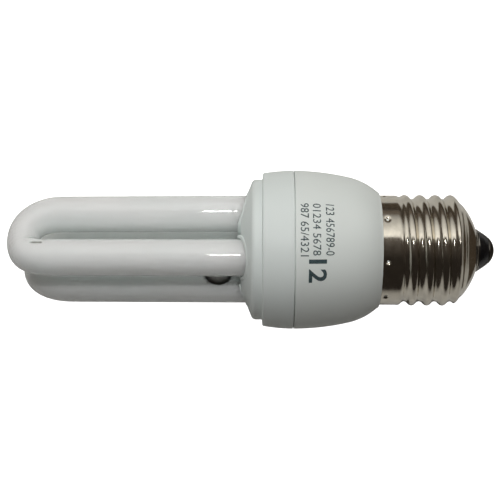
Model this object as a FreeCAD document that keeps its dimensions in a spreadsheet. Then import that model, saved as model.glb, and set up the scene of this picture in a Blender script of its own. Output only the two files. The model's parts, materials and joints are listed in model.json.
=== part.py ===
"""Self-ballasted fluorescent lamp: two bridged U tubes, a white housing and an E27 screw cap.

Millimetres. The lamp's axis is X: the tubes reach towards -X and the cap's contact towards +X.
The origin is on the axis, in the plane where the cap's skirt meets the neck of the housing.
The lamp lies as on a table, +Z up, turned about its axis so that one tube lies uppermost.
"""
import FreeCAD, Part
import math
import os
import Sketcher
from FreeCAD import Placement, Rotation, Vector

SIZES = [
    ("leg_diameter", 8.5, "glass tube, outside"),
    ("leg_pitch", 12.25, "side of the square that the four legs stand on"),
    ("leg_angle", 57.4, "turn of the leg square about the axis, degrees"),
    ("tube_projection", 54.6, "from the holder's front to the tip of the bends"),
    ("bend_length", 12.8, "part of each U that bends, along the axis"),
    ("bend_fullness", 2.2, "exponent of the bend's outer outline, 2 for an ellipse"),
    ("bend_thickness", 5.7, "flattened tube at the tip, along the axis"),
    ("bend_width", 7.9, "tube at the tip, across the U"),
    ("leg_depth", 4.5, "straight leg behind the holder's front"),
    ("pinch_length", 6.6, "pinch seal, from the end of the straight leg"),
    ("pinch_root", 0.85, "pinch seal inside the round end of its leg"),
    ("pinch_width", 5.6, "pinch seal, wide way"),
    ("pinch_thickness", 2.2, "pinch seal, thin way"),
    ("bridge_stand_off", 5.4, "middle of the bridge in front of the holder"),
    ("bridge_radius", 1.95, "neck of the fused bridge"),
    ("bridge_flare", 3.0, "radius of the bridge where it runs into a leg"),
    ("bridge_root", 0.85, "bridge inside the skin of a leg"),
    ("holder_length", 12.2, "from the seam to the flat middle of the front"),
    ("holder_wall", 1.4, "wall of the tube holder"),
    ("front_slope", 6.75, "sloped face of the front, across the axis"),
    ("collar_margin", 3.688, "from the legs' outer sides to the collar"),
    ("collar_back", 9.5, "from the seam to the front edge of the collar"),
    ("collar_round", 0.6, "rounding of the collar's front edge"),
    ("ring_length", 7.3, "from the seam to the foot of the ring"),
    ("ring_slant", 0.5, "slant of the ring's front face, along the axis"),
    ("ring_step", 1.5, "ring's front edge over the collar"),
    ("ring_swell", 0.62, "seam over the ring's front edge"),
    ("ring_curve", 40.0, "radius of the ring's curved side"),
    ("rim_width", 0.85, "raised rim round each leg"),
    ("rim_height", 0.8, "height of the rims over the flat middle"),
    ("rim_fade", 0.12, "height of the rims at the outer legs' side"),
    ("rim_outset", 0.19, "end of the rims' tops beyond the legs"),
    ("sleeve_depth", 4.0, "sleeves behind the flat middle, round each leg"),
    ("hole_clearance", 0.12, "between a leg and its hole"),
    ("cement_width", 1.0, "bead of cement round each leg"),
    ("cement_length", 1.6, "bead of cement, along the leg"),
    ("lap_length", 3.0, "spigot of the holder inside the housing"),
    ("lap_wall", 1.2, "wall of that spigot"),
    ("lap_clearance", 0.1, "between the spigot and the housing"),
    ("snap_height", 0.25, "snap bead round the spigot"),
    ("snap_back", 1.7, "snap bead behind the seam"),
    ("snap_width", 1.0, "snap bead along the axis"),
    ("seam_gap", 0.2, "shadow gap of the seam"),
    ("seam_depth", 0.45, "depth of the shadow gap"),
    ("housing_length", 20.15, "from the seam to the neck"),
    ("housing_wall", 1.4, "wall of the ballast housing"),
    ("side_curve", 58.0, "radius of the housing's long curved side"),
    ("shoulder_back", 6.55, "shoulder in front of the neck"),
    ("shoulder_drop", 1.62, "shoulder below the seam"),
    ("shoulder_curve", 15.6, "radius of the turned-in end of the housing"),
    ("neck_ledge", 0.85, "neck of the housing over the cap's skirt"),
    ("neck_round", 0.35, "rounded edge of the neck"),
    ("spigot_length", 3.6, "neck spigot inside the cap"),
    ("spigot_wall", 1.25, "wall of the neck spigot"),
    ("rib_thickness", 1.0, "ribs that hold the board"),
    ("rib_reach", 1.7, "ribs inside the wall"),
    ("rib_length", 8.0, "ribs along the axis"),
    ("cap_radius", 12.95, "skirt of the screw cap, outside"),
    ("cap_wall", 0.28, "sheet of the screw cap"),
    ("cap_clearance", 0.05, "between the cap and the neck spigot"),
    ("skirt_length", 3.75, "skirt in front of the threaded part"),
    ("skirt_step", 0.33, "threaded part below the skirt, at the thread's mean"),
    ("skirt_slope", 0.6, "length of the step behind the skirt"),
    ("dome_radius", 12.6, "curve of the cap's closed end"),
    ("dome_end", 76.0, "slope of the closed end at its rim, degrees"),
    ("rim_place", 22.65, "rim of the closed end, from the neck"),
    ("rim_radius", 6.05, "rim of the closed end"),
    ("lip_round", 0.45, "rolled lip round the glass"),
    ("lip_length", 0.2, "straight part of the lip"),
    ("punch_count", 8, "punched dimples that hold the cap"),
    ("punch_place", 1.15, "dimples from the neck"),
    ("punch_angle", -33.0, "turn of the dimples and of the ribs, degrees"),
    ("punch_radius", 0.8, "ball end of the punch"),
    ("punch_depth", 0.38, "depth of a dimple"),
    ("glass_flange_radius", 8.5, "insulator inside the cap"),
    ("glass_flange_back", 2.65, "back of the insulator behind the rim"),
    ("glass_clearance", 0.04, "between the insulator and the cap"),
    ("glass_front", 3.0, "cone of the insulator in front of the rim"),
    ("glass_front_radius", 3.35, "insulator at the contact"),
    ("contact_radius", 3.1, "centre contact"),
    ("contact_rim", 0.35, "straight edge of the contact"),
    ("contact_height", 1.7, "contact over the insulator"),
    ("stem_radius", 1.2, "stem of the contact"),
    ("stem_clearance", 0.05, "between the stem and the insulator"),
    ("stem_tail", 0.6, "stem behind the insulator"),
    ("board_thickness", 1.6, "circuit board"),
    ("board_clearance", 0.5, "between the board's edge and the housing"),
    ("part_gap", 0.1, "standing height of a component over the board"),
    ("pin_radius", 0.4, "wrap pins"),
    ("pin_inset", 3.82, "wrap pins from the inside of the housing"),
    ("pin_angle", 12.0, "each pin to the side of its leg, degrees"),
    ("pin_height", 3.2, "wrap pins in front of the board"),
    ("pin_clearance", 0.03, "between a pin and its hole"),
    ("lead_radius", 0.2, "filament leads"),
    ("lead_gap", 2.0, "between the two leads of a pinch"),
    ("lead_bend", 0.6, "bend radius of the filament leads"),
    ("supply_lead_radius", 0.3, "leads to the cap"),
    ("supply_lead_bend", 1.6, "bend radius of the leads to the cap"),
    ("capacitor_radius", 5.0, "electrolytic capacitor"),
    ("capacitor_length", 16.0, "electrolytic capacitor"),
    ("capacitor_groove", 0.4, "crimp groove of the capacitor's can"),
    ("capacitor_y", -1.0, "place of the capacitor"),
    ("capacitor_z", 5.5, "place of the capacitor"),
    ("core_width", 10.2, "choke core across"),
    ("core_height", 10.2, "choke core along the axis"),
    ("core_depth", 5.0, "choke core thickness"),
    ("core_leg", 2.6, "middle leg of the core"),
    ("core_yoke", 1.7, "yokes of the core"),
    ("core_window", 2.2, "windows beside the middle leg"),
    ("core_z", -8.2, "middle of the choke"),
    ("bobbin_wall", 0.5, "wall of the choke's bobbin"),
    ("bobbin_clearance", 0.1, "between the bobbin and the core"),
    ("bobbin_reach", 1.9, "flanges of the bobbin beside the core"),
    ("bobbin_base", 1.0, "base of the bobbin under the core"),
    ("toroid_radius", 3.4, "middle radius of the ring core"),
    ("toroid_section", 1.35, "radius of the ring core's section"),
    ("toroid_y", 10.2, "place of the ring core"),
    ("toroid_z", 2.2, "place of the ring core"),
    ("turn_radius", 0.25, "wire of the ring core's windings"),
    ("turn_clearance", 0.03, "between a turn and the core"),
    ("transistor_radius", 2.3, "round back of a transistor"),
    ("transistor_flat", 1.3, "flat face from the middle"),
    ("transistor_height", 4.7, "body of a transistor"),
    ("transistor_legs", 2.0, "legs of a transistor"),
    ("transistor_y", -9.8, "place of the transistors"),
    ("transistor_z", 1.8, "place of the first transistor"),
    ("transistor_step", 6.0, "from one transistor to the next"),
    ("film_tall", 8.0, "film capacitors, height"),
    ("film_long", 5.0, "film capacitors, long side"),
    ("film_thick", 3.2, "film capacitors, thin side"),
    ("film_round", 0.5, "rounded edges of the film capacitors"),
    ("film_y", -11.0, "near side of both film capacitors"),
    ("filter_z", 4.9, "low side of the filter capacitor"),
    ("resonance_z", -10.4, "low side of the resonance capacitor"),
    ("diode_radius", 1.3, "rectifier diodes"),
    ("diode_length", 5.2, "rectifier diodes"),
    ("diode_y", 7.4, "place of the first diode"),
    ("diode_z", -4.0, "place of the first diode"),
    ("diode_step_y", 3.5, "from diode to diode"),
    ("diode_step_z", 4.2, "from row to row"),
    ("hairpin", 2.0, "upper lead of an axial part, to its side"),
    ("axial_lead", 0.3, "leads of the axial parts, radius"),
    ("resistor_radius", 1.15, "resistors"),
    ("resistor_length", 6.0, "resistors"),
    ("diac_radius", 0.9, "trigger diode"),
    ("diac_length", 3.8, "trigger diode"),
    ("fuse_radius", 1.5, "fusible resistor"),
    ("fuse_length", 9.0, "fusible resistor"),
    ("fuse_y", 6.6, "place of the fusible resistor"),
    ("fuse_z", 8.6, "place of the fusible resistor"),
    ("axial_stand", 1.0, "axial parts over the board"),
    ("strip_y", -5.6, "first of the row of resistors and trigger diode"),
    ("strip_step", 4.1, "from one to the next in that row"),
    ("earth_inset", 3.5, "lead of the shell from the inside of the housing"),
    ("earth_rise", 9.5, "that lead over the board before it turns to the neck"),
    ("earth_angle", -9.2, "place of that lead round the axis, degrees"),
    ("earth_turn", 1.2, "that lead's last bend beyond the spigot"),
    ("earth_end", 1.4, "that lead's solder joint beyond the last bend"),
    ("contact_turn", 6.0, "contact lead's last bend beyond the spigot"),
    ("contact_rise", 0.6, "contact lead's first bend from the neck"),
]

doc = FreeCAD.newDocument("u_lamp")
sheet = doc.addObject("Spreadsheet::Sheet", "sizes")
for row, (alias, amount, note) in enumerate(SIZES, start=1):
    sheet.set(f"A{row}", alias)
    sheet.set(f"B{row}", str(amount))
    sheet.setAlias(f"B{row}", alias)
    sheet.set(f"C{row}", note)
doc.recompute()

# Places along the axis, as expressions
SEAM = "(-sizes.housing_length)"
FRONT = f"({SEAM} - sizes.holder_length)"
COLLAR = f"({SEAM} - sizes.collar_back)"
RING = f"({SEAM} - sizes.ring_length)"
BOARD_FRONT = f"({SEAM} + sizes.lap_length)"
BOARD_BACK = f"({BOARD_FRONT} + sizes.board_thickness)"
SHOULDER = "(-sizes.shoulder_back)"
TIP = f"({FRONT} - sizes.tube_projection)"
LEG_END = f"({FRONT} + sizes.leg_depth)"

# Distances from the axis, as expressions
LEG_CIRCLE = "(sizes.leg_pitch / sqrt(2))"
LEG_REACH = f"({LEG_CIRCLE} + sizes.leg_diameter / 2)"
COLLAR_RADIUS = f"({LEG_REACH} + sizes.collar_margin)"
FLAT_RADIUS = f"({COLLAR_RADIUS} - sizes.front_slope)"
RING_RADIUS = f"({COLLAR_RADIUS} + sizes.ring_step)"
SEAM_RADIUS = f"({RING_RADIUS} + sizes.ring_swell)"
INSIDE_RADIUS = f"({SEAM_RADIUS} - sizes.housing_wall)"
SHOULDER_RADIUS = f"({SEAM_RADIUS} - sizes.shoulder_drop)"
NECK_RADIUS = "(sizes.cap_radius + sizes.neck_ledge)"
SPIGOT_OUTSIDE = "(sizes.cap_radius - sizes.cap_wall - sizes.cap_clearance)"
SPIGOT_INSIDE = f"({SPIGOT_OUTSIDE} - sizes.spigot_wall)"

# The round closed end of the cap, as expressions
END_SINE = "sin(sizes.dome_end * 1 deg)"
END_COSINE = "cos(sizes.dome_end * 1 deg)"
DOME_X = f"(sizes.rim_place - sizes.dome_radius * {END_SINE})"
DOME_R = f"(sizes.rim_radius - sizes.dome_radius * {END_COSINE})"

# Sections of a lofted bend
BEND_STEPS = 10

subparts = []


def number(expression):
    """The value of an expression over the sheet's sizes."""
    return float(sheet.evalExpression(expression.replace("sizes.", "")))


def size(name):
    """One size from the sheet."""
    return float(sheet.get(name))


def keep(thing, label):
    """Takes a finished object as a sub-part under its own label."""
    thing.Label = label
    subparts.append(thing)
    return thing


def turn_with_legs(thing):
    """Turns a sub-part about the lamp's axis with the square of the legs."""
    thing.Placement = Placement(Vector(), Rotation(Vector(1, 0, 0), size("leg_angle")))
    thing.setExpression("Placement.Rotation.Angle", "sizes.leg_angle")


def feature(label, shape):
    """A sub-part whose shape is worked out from the sheet in code."""
    thing = doc.addObject("Part::Feature", label)
    thing.Shape = shape
    return keep(thing, label)


# Sketches on the origin planes of a body

def origin_feature(body, role):
    """An origin plane or axis of a body, found by its role."""
    return [item for item in body.Origin.OriginFeatures if item.Role == role][0]


def new_sketch(body, name, role, offset=None):
    """A sketch on an origin plane, moved along its normal by an expression."""
    sketch = body.newObject("Sketcher::SketchObject", name)
    sketch.AttachmentSupport = [(origin_feature(body, role), "")]
    sketch.MapMode = "FlatFace"
    if offset:
        sketch.setExpression("AttachmentOffset.Base.z", offset)
    return sketch


def bind(sketch, kind, *where, to):
    """A dimension of a sketch that follows an expression."""
    index = sketch.addConstraint(Sketcher.Constraint(kind, *where, number(to)))
    sketch.setExpression(f"Constraints[{index}]", to)


def arc_between(start, end, radius, side):
    """Arc of a radius between two points, bulging to the left (1) or the right (-1) of travel."""
    chord = end - start
    left = Vector(-chord.y, chord.x, 0).normalize()
    centre = (start + end) / 2 - left * side * math.sqrt(radius ** 2 - chord.Length ** 2 / 4)
    first, last = (end, start) if side == 1 else (start, end)
    begin = math.atan2(first.y - centre.y, first.x - centre.x)
    finish = math.atan2(last.y - centre.y, last.x - centre.x)
    finish += 2 * math.pi if finish < begin else 0
    return Part.ArcOfCircle(Part.Circle(centre, Vector(0, 0, 1), radius), begin, finish)


def outline(sketch, corners):
    """Closed outline through corners (x, y, edge); edge is None for a line or (radius, side)."""
    points = [Vector(number(x), number(y), 0) for x, y, edge in corners]
    ends = []
    for index, (x, y, edge) in enumerate(corners):
        start = points[index]
        end = points[(index + 1) % len(points)]
        if edge is None:
            piece = Part.LineSegment(start, end)
        else:
            piece = arc_between(start, end, number(edge[0]), edge[1])
        sketch.addGeometry(piece, False)
        ends.append((2, 1) if edge is not None and edge[1] == 1 else (1, 2))
    for index, (x, y, edge) in enumerate(corners):
        following = (index + 1) % len(corners)
        joint = (index, ends[index][1], following, ends[following][0])
        sketch.addConstraint(Sketcher.Constraint("Coincident", *joint))
    for index, (x, y, edge) in enumerate(corners):
        bind(sketch, "DistanceX", -1, 1, index, ends[index][0], to=x)
        bind(sketch, "DistanceY", -1, 1, index, ends[index][0], to=y)
        if edge is not None:
            bind(sketch, "Radius", index, to=edge[0])


def circle(sketch, x, y, radius):
    """A circle whose centre and radius follow expressions."""
    shape = Part.Circle(Vector(number(x), number(y), 0), Vector(0, 0, 1), number(radius))
    index = sketch.addGeometry(shape, False)
    bind(sketch, "DistanceX", -1, 1, index, 3, to=x)
    bind(sketch, "DistanceY", -1, 1, index, 3, to=y)
    bind(sketch, "Radius", index, to=radius)


def turned(body, name, corners, kind="PartDesign::Revolution"):
    """An outline in the XZ plane turned about the X axis, added or, as a groove, taken away."""
    sketch = new_sketch(body, name + "_outline", "XZ_Plane")
    outline(sketch, corners)
    turning = body.newObject(kind, name)
    turning.Profile = sketch
    turning.ReferenceAxis = (sketch, ["H_Axis"])
    turning.Angle = 360
    doc.recompute()
    return turning


def repeat_round_axis(body, name, source, count):
    """Repeats a feature round the X axis."""
    pattern = body.newObject("PartDesign::PolarPattern", name)
    pattern.Originals = [source]
    pattern.Axis = (origin_feature(body, "X_Axis"), [""])
    pattern.Angle = 360
    pattern.Occurrences = count
    body.Tip = pattern
    doc.recompute()
    return pattern


# Glass: two U tubes joined by a bridge

def bend_sections():
    """Ellipses round a flattened U bend, from one leg to the other."""
    leg_radius = size("leg_diameter") / 2
    outer_side = size("leg_pitch") / 2 + leg_radius
    inner_side = size("leg_pitch") / 2 - leg_radius
    length = size("bend_length")
    inner_length = length - size("bend_thickness")
    start = number(TIP) + length
    power = 2 / size("bend_fullness")
    narrowing = leg_radius - size("bend_width") / 2
    wires = []
    for step in range(BEND_STEPS + 1):
        angle = math.pi * step / BEND_STEPS
        sine = math.sin(angle) if 0 < step < BEND_STEPS else 0.0
        cosine = math.cos(angle)
        side = math.copysign(abs(cosine) ** power, cosine)
        outer = Vector(start - length * sine ** power, 0, outer_side * side)
        inner = Vector(start - inner_length * sine, 0, inner_side * cosine)
        middle = (outer + inner) / 2
        along = (outer - inner) / 2
        width = leg_radius - narrowing * sine ** 2
        normal = Vector(0, 1, 0).cross(along).normalize()
        matrix = FreeCAD.Matrix(0, along.x, normal.x, middle.x,
                                width, along.y, normal.y, middle.y,
                                0, along.z, normal.z, middle.z,
                                0, 0, 0, 1)
        wires.append(Part.Wire([Part.Circle().toShape().transformGeometry(matrix)]))
    return wires


def u_tube():
    """One U about the XZ plane: the lofted bend, two straight legs and their round ends."""
    start = number(TIP) + size("bend_length")
    end = number(LEG_END)
    sections = bend_sections()
    tube = Part.makeLoft(sections, True, False)
    for section, side in ((sections[0], 1), (sections[-1], -1)):
        tube = tube.fuse(Part.Face(section).extrude(Vector(end - start, 0, 0)))
        closed_end = Vector(end, 0, side * size("leg_pitch") / 2)
        tube = tube.fuse(Part.makeSphere(size("leg_diameter") / 2, closed_end, Vector(1, 0, 0)))
    return tube


def flared_bridge():
    """Short neck between two legs, flared into both, along Y about its own middle."""
    reach = size("leg_pitch") / 2
    flare_place = reach - size("leg_diameter") / 2 + size("bridge_root")
    flare = size("bridge_flare")
    waist = Vector(size("bridge_radius"), 0, 0)
    low = Vector(flare, -flare_place, 0)
    high = Vector(flare, flare_place, 0)
    corners = [high, Vector(flare, reach, 0), Vector(0, reach, 0), Vector(0, -reach, 0)]
    corners += [Vector(flare, -reach, 0), low]
    edges = [Part.Arc(low, waist, high).toShape()]
    edges += [Part.LineSegment(a, b).toShape() for a, b in zip(corners, corners[1:])]
    return Part.Face(Part.Wire(edges)).revolve(Vector(), Vector(0, 1, 0), 360)


def build_discharge_tube():
    """Two U tubes side by side, bridged near the holder, with pinch seals on the other legs."""
    half_pitch = size("leg_pitch") / 2
    glass = flared_bridge()
    glass.translate(Vector(number(FRONT) - size("bridge_stand_off"), 0, half_pitch))
    seal_start = number(LEG_END) + size("leg_diameter") / 2 - size("pinch_root")
    seal_length = number(LEG_END) + size("pinch_length") - seal_start
    for side in (-1, 1):
        tube = u_tube()
        tube.translate(Vector(0, side * half_pitch, 0))
        corner = Vector(seal_start, side * half_pitch - size("pinch_width") / 2,
                        -half_pitch - size("pinch_thickness") / 2)
        seal = Part.makeBox(seal_length, size("pinch_width"), size("pinch_thickness"), corner)
        glass = glass.fuse([tube, seal])
    turn_with_legs(feature("discharge_tube", glass.removeSplitter()))


# White plastic shells

def build_tube_holder():
    """Front shell: sloped face, collar, ring, four sleeved holes with rims and a snap spigot."""
    body = doc.addObject("PartDesign::Body", "tube_holder")
    inner_front = f"({FRONT} + sizes.holder_wall)"
    lap_outside = f"({INSIDE_RADIUS} - sizes.lap_clearance)"
    lap_inside = f"({lap_outside} - sizes.lap_wall)"
    lap_end = BOARD_FRONT
    snap = f"({SEAM} + sizes.snap_back)"
    collar_inside = f"({COLLAR_RADIUS} - sizes.holder_wall)"
    slope = f"((sizes.holder_length - sizes.collar_back) / sizes.front_slope)"
    slant = f"(sizes.holder_wall * (sqrt(1 + {slope} ^ 2) - {slope}))"
    shell = turned(body, "shell", [
        (FRONT, "0", None),
        (FRONT, FLAT_RADIUS, None),
        (COLLAR, COLLAR_RADIUS, None),
        (RING, COLLAR_RADIUS, None),
        (f"{RING} + sizes.ring_slant", RING_RADIUS, ("sizes.ring_curve", 1)),
        (SEAM, SEAM_RADIUS, None),
        (SEAM, lap_outside, None),
        (f"{snap} - sizes.snap_width / 2", lap_outside, None),
        (snap, f"{lap_outside} + sizes.snap_height", None),
        (f"{snap} + sizes.snap_width / 2", lap_outside, None),
        (lap_end, lap_outside, None),
        (lap_end, lap_inside, None),
        (f"{RING} + sizes.holder_wall", lap_inside, None),
        (f"{RING} + sizes.holder_wall", collar_inside, None),
        (f"{COLLAR} + {slant}", collar_inside, None),
        (inner_front, f"{FLAT_RADIUS} - sizes.holder_wall * {slope} / 2", None),
        (inner_front, "0", None),
    ])
    edge = [f"Edge{index}" for index, item in enumerate(shell.Shape.Edges, start=1)
            if abs(item.BoundBox.XMin - number(COLLAR)) < 1e-4
            and item.BoundBox.XLength < 1e-4
            and abs(item.BoundBox.ZMax - number(COLLAR_RADIUS)) < 1e-3]
    rounding = body.newObject("PartDesign::Fillet", "collar_rounding")
    rounding.Base = (shell, edge)
    rounding.setExpression("Radius", "sizes.collar_round")
    doc.recompute()
    leg_place = "sizes.leg_pitch / 2"
    sleeve_end = f"({FRONT} + sizes.sleeve_depth)"
    sleeve_sketch = new_sketch(body, "sleeve_circle", "YZ_Plane", sleeve_end)
    sleeve_radius = "sizes.leg_diameter / 2 + sizes.hole_clearance + sizes.rim_width"
    circle(sleeve_sketch, leg_place, leg_place, sleeve_radius)
    sleeve = body.newObject("PartDesign::Pad", "sleeve")
    sleeve.Profile = sleeve_sketch
    sleeve.Reversed = True
    sleeve.setExpression("Length", "sizes.sleeve_depth + 2 * sizes.rim_height")
    doc.recompute()
    repeat_round_axis(body, "sleeves", sleeve, 4)
    edge_radius = f"({LEG_REACH} + sizes.rim_outset)"
    edge_height = f"({FRONT} + {slope} * ({edge_radius} - {FLAT_RADIUS}) - sizes.rim_fade)"
    beyond = "(2 * sizes.rim_width)"
    clear = f"({FRONT} - 4 * sizes.rim_height)"
    turned(body, "rim_tops", [
        (clear, "0", None),
        (f"{FRONT} - sizes.rim_height", "0", None),
        (f"{FRONT} - sizes.rim_height", LEG_CIRCLE, None),
        (edge_height, edge_radius, None),
        (f"{edge_height} + {slope} * {beyond}", f"{edge_radius} + {beyond}", None),
        (clear, f"{edge_radius} + {beyond}", None),
    ], "PartDesign::Groove")
    hole_sketch = new_sketch(body, "leg_hole_circle", "YZ_Plane", SEAM)
    circle(hole_sketch, leg_place, leg_place, "sizes.leg_diameter / 2 + sizes.hole_clearance")
    hole = body.newObject("PartDesign::Pocket", "leg_hole")
    hole.Profile = hole_sketch
    hole.setExpression("Length", "sizes.holder_length + 4 * sizes.rim_height")
    doc.recompute()
    repeat_round_axis(body, "leg_holes", hole, 4)
    turn_with_legs(body)
    keep(body, "tube_holder")


def build_ballast_housing():
    """Rear shell: curved side, turned-in neck, spigot for the cap and ribs that hold the board."""
    body = doc.addObject("PartDesign::Body", "ballast_housing")
    snap = f"({SEAM} + sizes.snap_back)"
    turned(body, "shell", [
        (SEAM, INSIDE_RADIUS, None),
        (SEAM, f"{SEAM_RADIUS} - sizes.seam_depth", None),
        (f"{SEAM} + sizes.seam_gap", f"{SEAM_RADIUS} - sizes.seam_depth", None),
        (f"{SEAM} + sizes.seam_gap", SEAM_RADIUS, ("sizes.side_curve", 1)),
        (SHOULDER, SHOULDER_RADIUS, ("sizes.shoulder_curve", 1)),
        ("-sizes.neck_round", NECK_RADIUS, ("sizes.neck_round", 1)),
        ("0", f"{NECK_RADIUS} - sizes.neck_round", None),
        ("0", SPIGOT_OUTSIDE, None),
        ("sizes.spigot_length", SPIGOT_OUTSIDE, None),
        ("sizes.spigot_length", SPIGOT_INSIDE, None),
        ("-sizes.housing_wall * 0.4", SPIGOT_INSIDE, None),
        ("-sizes.housing_wall", f"{NECK_RADIUS} - sizes.housing_wall", None),
        (f"{SHOULDER} - sizes.housing_wall * 0.2", f"{SHOULDER_RADIUS} - sizes.housing_wall",
         None),
        (BOARD_FRONT, INSIDE_RADIUS, None),
        (f"{snap} + sizes.snap_width * 0.6", INSIDE_RADIUS, None),
        (snap, f"{INSIDE_RADIUS} + sizes.snap_height", None),
        (f"{snap} - sizes.snap_width * 0.6", INSIDE_RADIUS, None),
    ])
    rib_start = f"({BOARD_BACK} + sizes.part_gap / 2)"
    rib_end = f"({rib_start} + sizes.rib_length)"
    rib_top = f"({INSIDE_RADIUS} + sizes.housing_wall / 2)"
    rib_far = f"({SHOULDER_RADIUS} - sizes.housing_wall / 2)"
    rib_foot = f"({INSIDE_RADIUS} - sizes.rib_reach)"
    rib_sketch = new_sketch(body, "rib_outline", "XZ_Plane")
    outline(rib_sketch, [
        (rib_start, rib_foot, None),
        (rib_start, rib_top, None),
        (rib_end, rib_far, None),
        (rib_end, rib_foot, None),
    ])
    rib = body.newObject("PartDesign::Pad", "rib")
    rib.Profile = rib_sketch
    rib.Midplane = True
    rib.setExpression("Length", "sizes.rib_thickness")
    doc.recompute()
    repeat_round_axis(body, "ribs", rib, 4)
    recess_sketch = new_sketch(body, "recess_circle", "XY_Plane", "sizes.cap_radius")
    circle(recess_sketch, "sizes.punch_place", "0", "sizes.punch_radius + sizes.cap_clearance")
    recess = body.newObject("PartDesign::Pocket", "recess")
    recess.Profile = recess_sketch
    recess.setExpression("Length", "sizes.punch_depth + sizes.cap_wall + sizes.cap_clearance")
    doc.recompute()
    repeat_round_axis(body, "recesses", recess, int(size("punch_count")))
    body.Placement = Placement(Vector(), Rotation(Vector(1, 0, 0), size("punch_angle")))
    body.setExpression("Placement.Rotation.Angle", "sizes.punch_angle")
    keep(body, "ballast_housing")


# Screw cap

def build_screw_shell():
    """Sheet-metal cap: skirt with punched dimples, threaded part, round closed end and lip."""
    body = doc.addObject("PartDesign::Body", "screw_shell_sheet")
    wall = "sizes.cap_wall"
    threaded = "(sizes.cap_radius - sizes.skirt_step)"
    threaded_inside = f"({threaded} - {wall})"
    threaded_start = "(sizes.skirt_length + sizes.skirt_slope)"
    dome_inside = f"(sizes.dome_radius - {wall})"
    dome_start = f"({DOME_X} + sqrt(sizes.dome_radius ^ 2 - ({threaded} - {DOME_R}) ^ 2))"
    inner_start = f"({DOME_X} + sqrt({dome_inside} ^ 2 - ({threaded_inside} - {DOME_R}) ^ 2))"
    lip_reach = "(sizes.dome_radius + sizes.lip_round)"
    lip_x = f"({DOME_X} + {lip_reach} * {END_SINE})"
    lip_r = f"({DOME_R} + {lip_reach} * {END_COSINE} - sizes.lip_round)"
    turned(body, "sheet", [
        ("0", "sizes.cap_radius", None),
        ("sizes.skirt_length", "sizes.cap_radius", None),
        (threaded_start, threaded, None),
        (dome_start, threaded, ("sizes.dome_radius", 1)),
        ("sizes.rim_place", "sizes.rim_radius", ("sizes.lip_round", -1)),
        (lip_x, lip_r, None),
        (f"{lip_x} + sizes.lip_length", lip_r, None),
        (f"{lip_x} + sizes.lip_length", f"{lip_r} - {wall}", None),
        (lip_x, f"{lip_r} - {wall}", (f"(sizes.lip_round + {wall})", 1)),
        (f"{DOME_X} + {dome_inside} * {END_SINE}", f"{DOME_R} + {dome_inside} * {END_COSINE}",
         (dome_inside, -1)),
        (inner_start, threaded_inside, None),
        (threaded_start, threaded_inside, None),
        ("sizes.skirt_length", f"sizes.cap_radius - {wall}", None),
        ("0", f"sizes.cap_radius - {wall}", None),
    ])
    sheet_metal = body.Shape
    radius = size("cap_radius")
    ball = size("punch_radius")
    thickness = size("cap_wall")
    count = int(size("punch_count"))
    for index in range(count):
        angle = math.radians(size("punch_angle") + 360 * index / count)
        outwards = Vector(0, math.cos(angle), math.sin(angle))
        along = Vector(size("punch_place"), 0, 0)
        centre = along + outwards * (radius - size("punch_depth") + ball)
        punch = Part.makeSphere(ball, centre, outwards)
        pushed = Part.makeSphere(ball + thickness, centre, outwards)
        within = Part.makeCylinder(ball + thickness, radius - thickness / 2, along, outwards)
        sheet_metal = sheet_metal.fuse(pushed.common(within)).cut(punch)
    feature("screw_shell", sheet_metal)


def build_cap_insulator():
    """Black glass that closes the cap's end, with a hole for the stem of the contact."""
    body = doc.addObject("PartDesign::Body", "cap_insulator")
    inner_dome = "(sizes.dome_radius - sizes.cap_wall - sizes.glass_clearance)"
    lip_drop = f"(sizes.lip_round * (1 - {END_COSINE}))"
    throat = f"(sizes.rim_radius - {lip_drop} - sizes.cap_wall - sizes.glass_clearance)"
    seat_x = f"({DOME_X} + sqrt({inner_dome} ^ 2 - (sizes.glass_flange_radius - {DOME_R}) ^ 2))"
    throat_x = f"({DOME_X} + sqrt({inner_dome} ^ 2 - ({throat} - {DOME_R}) ^ 2))"
    lip_end = "(sizes.rim_place + sizes.lip_round + sizes.lip_length)"
    back = "(sizes.rim_place - sizes.glass_flange_back)"
    front = "(sizes.rim_place + sizes.glass_front)"
    hole = "(sizes.stem_radius + sizes.stem_clearance)"
    turned(body, "glass", [
        (back, hole, None),
        (back, "sizes.glass_flange_radius", None),
        (seat_x, "sizes.glass_flange_radius", (inner_dome, 1)),
        (throat_x, throat, None),
        (lip_end, throat, None),
        (front, "sizes.glass_front_radius", None),
        (front, hole, None),
    ])
    keep(body, "cap_insulator")


def build_centre_contact():
    """Domed contact with the stem that passes through the insulator."""
    body = doc.addObject("PartDesign::Body", "centre_contact")
    seat = "(sizes.rim_place + sizes.glass_front)"
    rim = f"({seat} + sizes.contact_rim)"
    rise = "(sizes.contact_height - sizes.contact_rim)"
    tip = f"({seat} + sizes.contact_height)"
    tail = "(sizes.rim_place - sizes.glass_flange_back - sizes.stem_tail)"
    dome = f"((sizes.contact_radius ^ 2 + {rise} ^ 2) / (2 * {rise}))"
    turned(body, "contact", [
        (tail, "0", None),
        (tail, "sizes.stem_radius", None),
        (seat, "sizes.stem_radius", None),
        (seat, "sizes.contact_radius", None),
        (rim, "sizes.contact_radius", (dome, 1)),
        (tip, "0", None),
    ])
    keep(body, "centre_contact")


# Ballast inside the housing

def placed(thing, x, y, z):
    """Sets a thing's place by three expressions."""
    for name, amount in (("x", x), ("y", y), ("z", z)):
        thing.setExpression(f"Placement.Base.{name}", amount)
    return thing


def block(name, lengths, corner):
    """Box from its three lengths and its lowest corner, all expressions."""
    box = doc.addObject("Part::Box", name)
    for side, length in zip(("Length", "Width", "Height"), lengths):
        box.setExpression(side, length)
    return placed(box, *corner)


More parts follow.
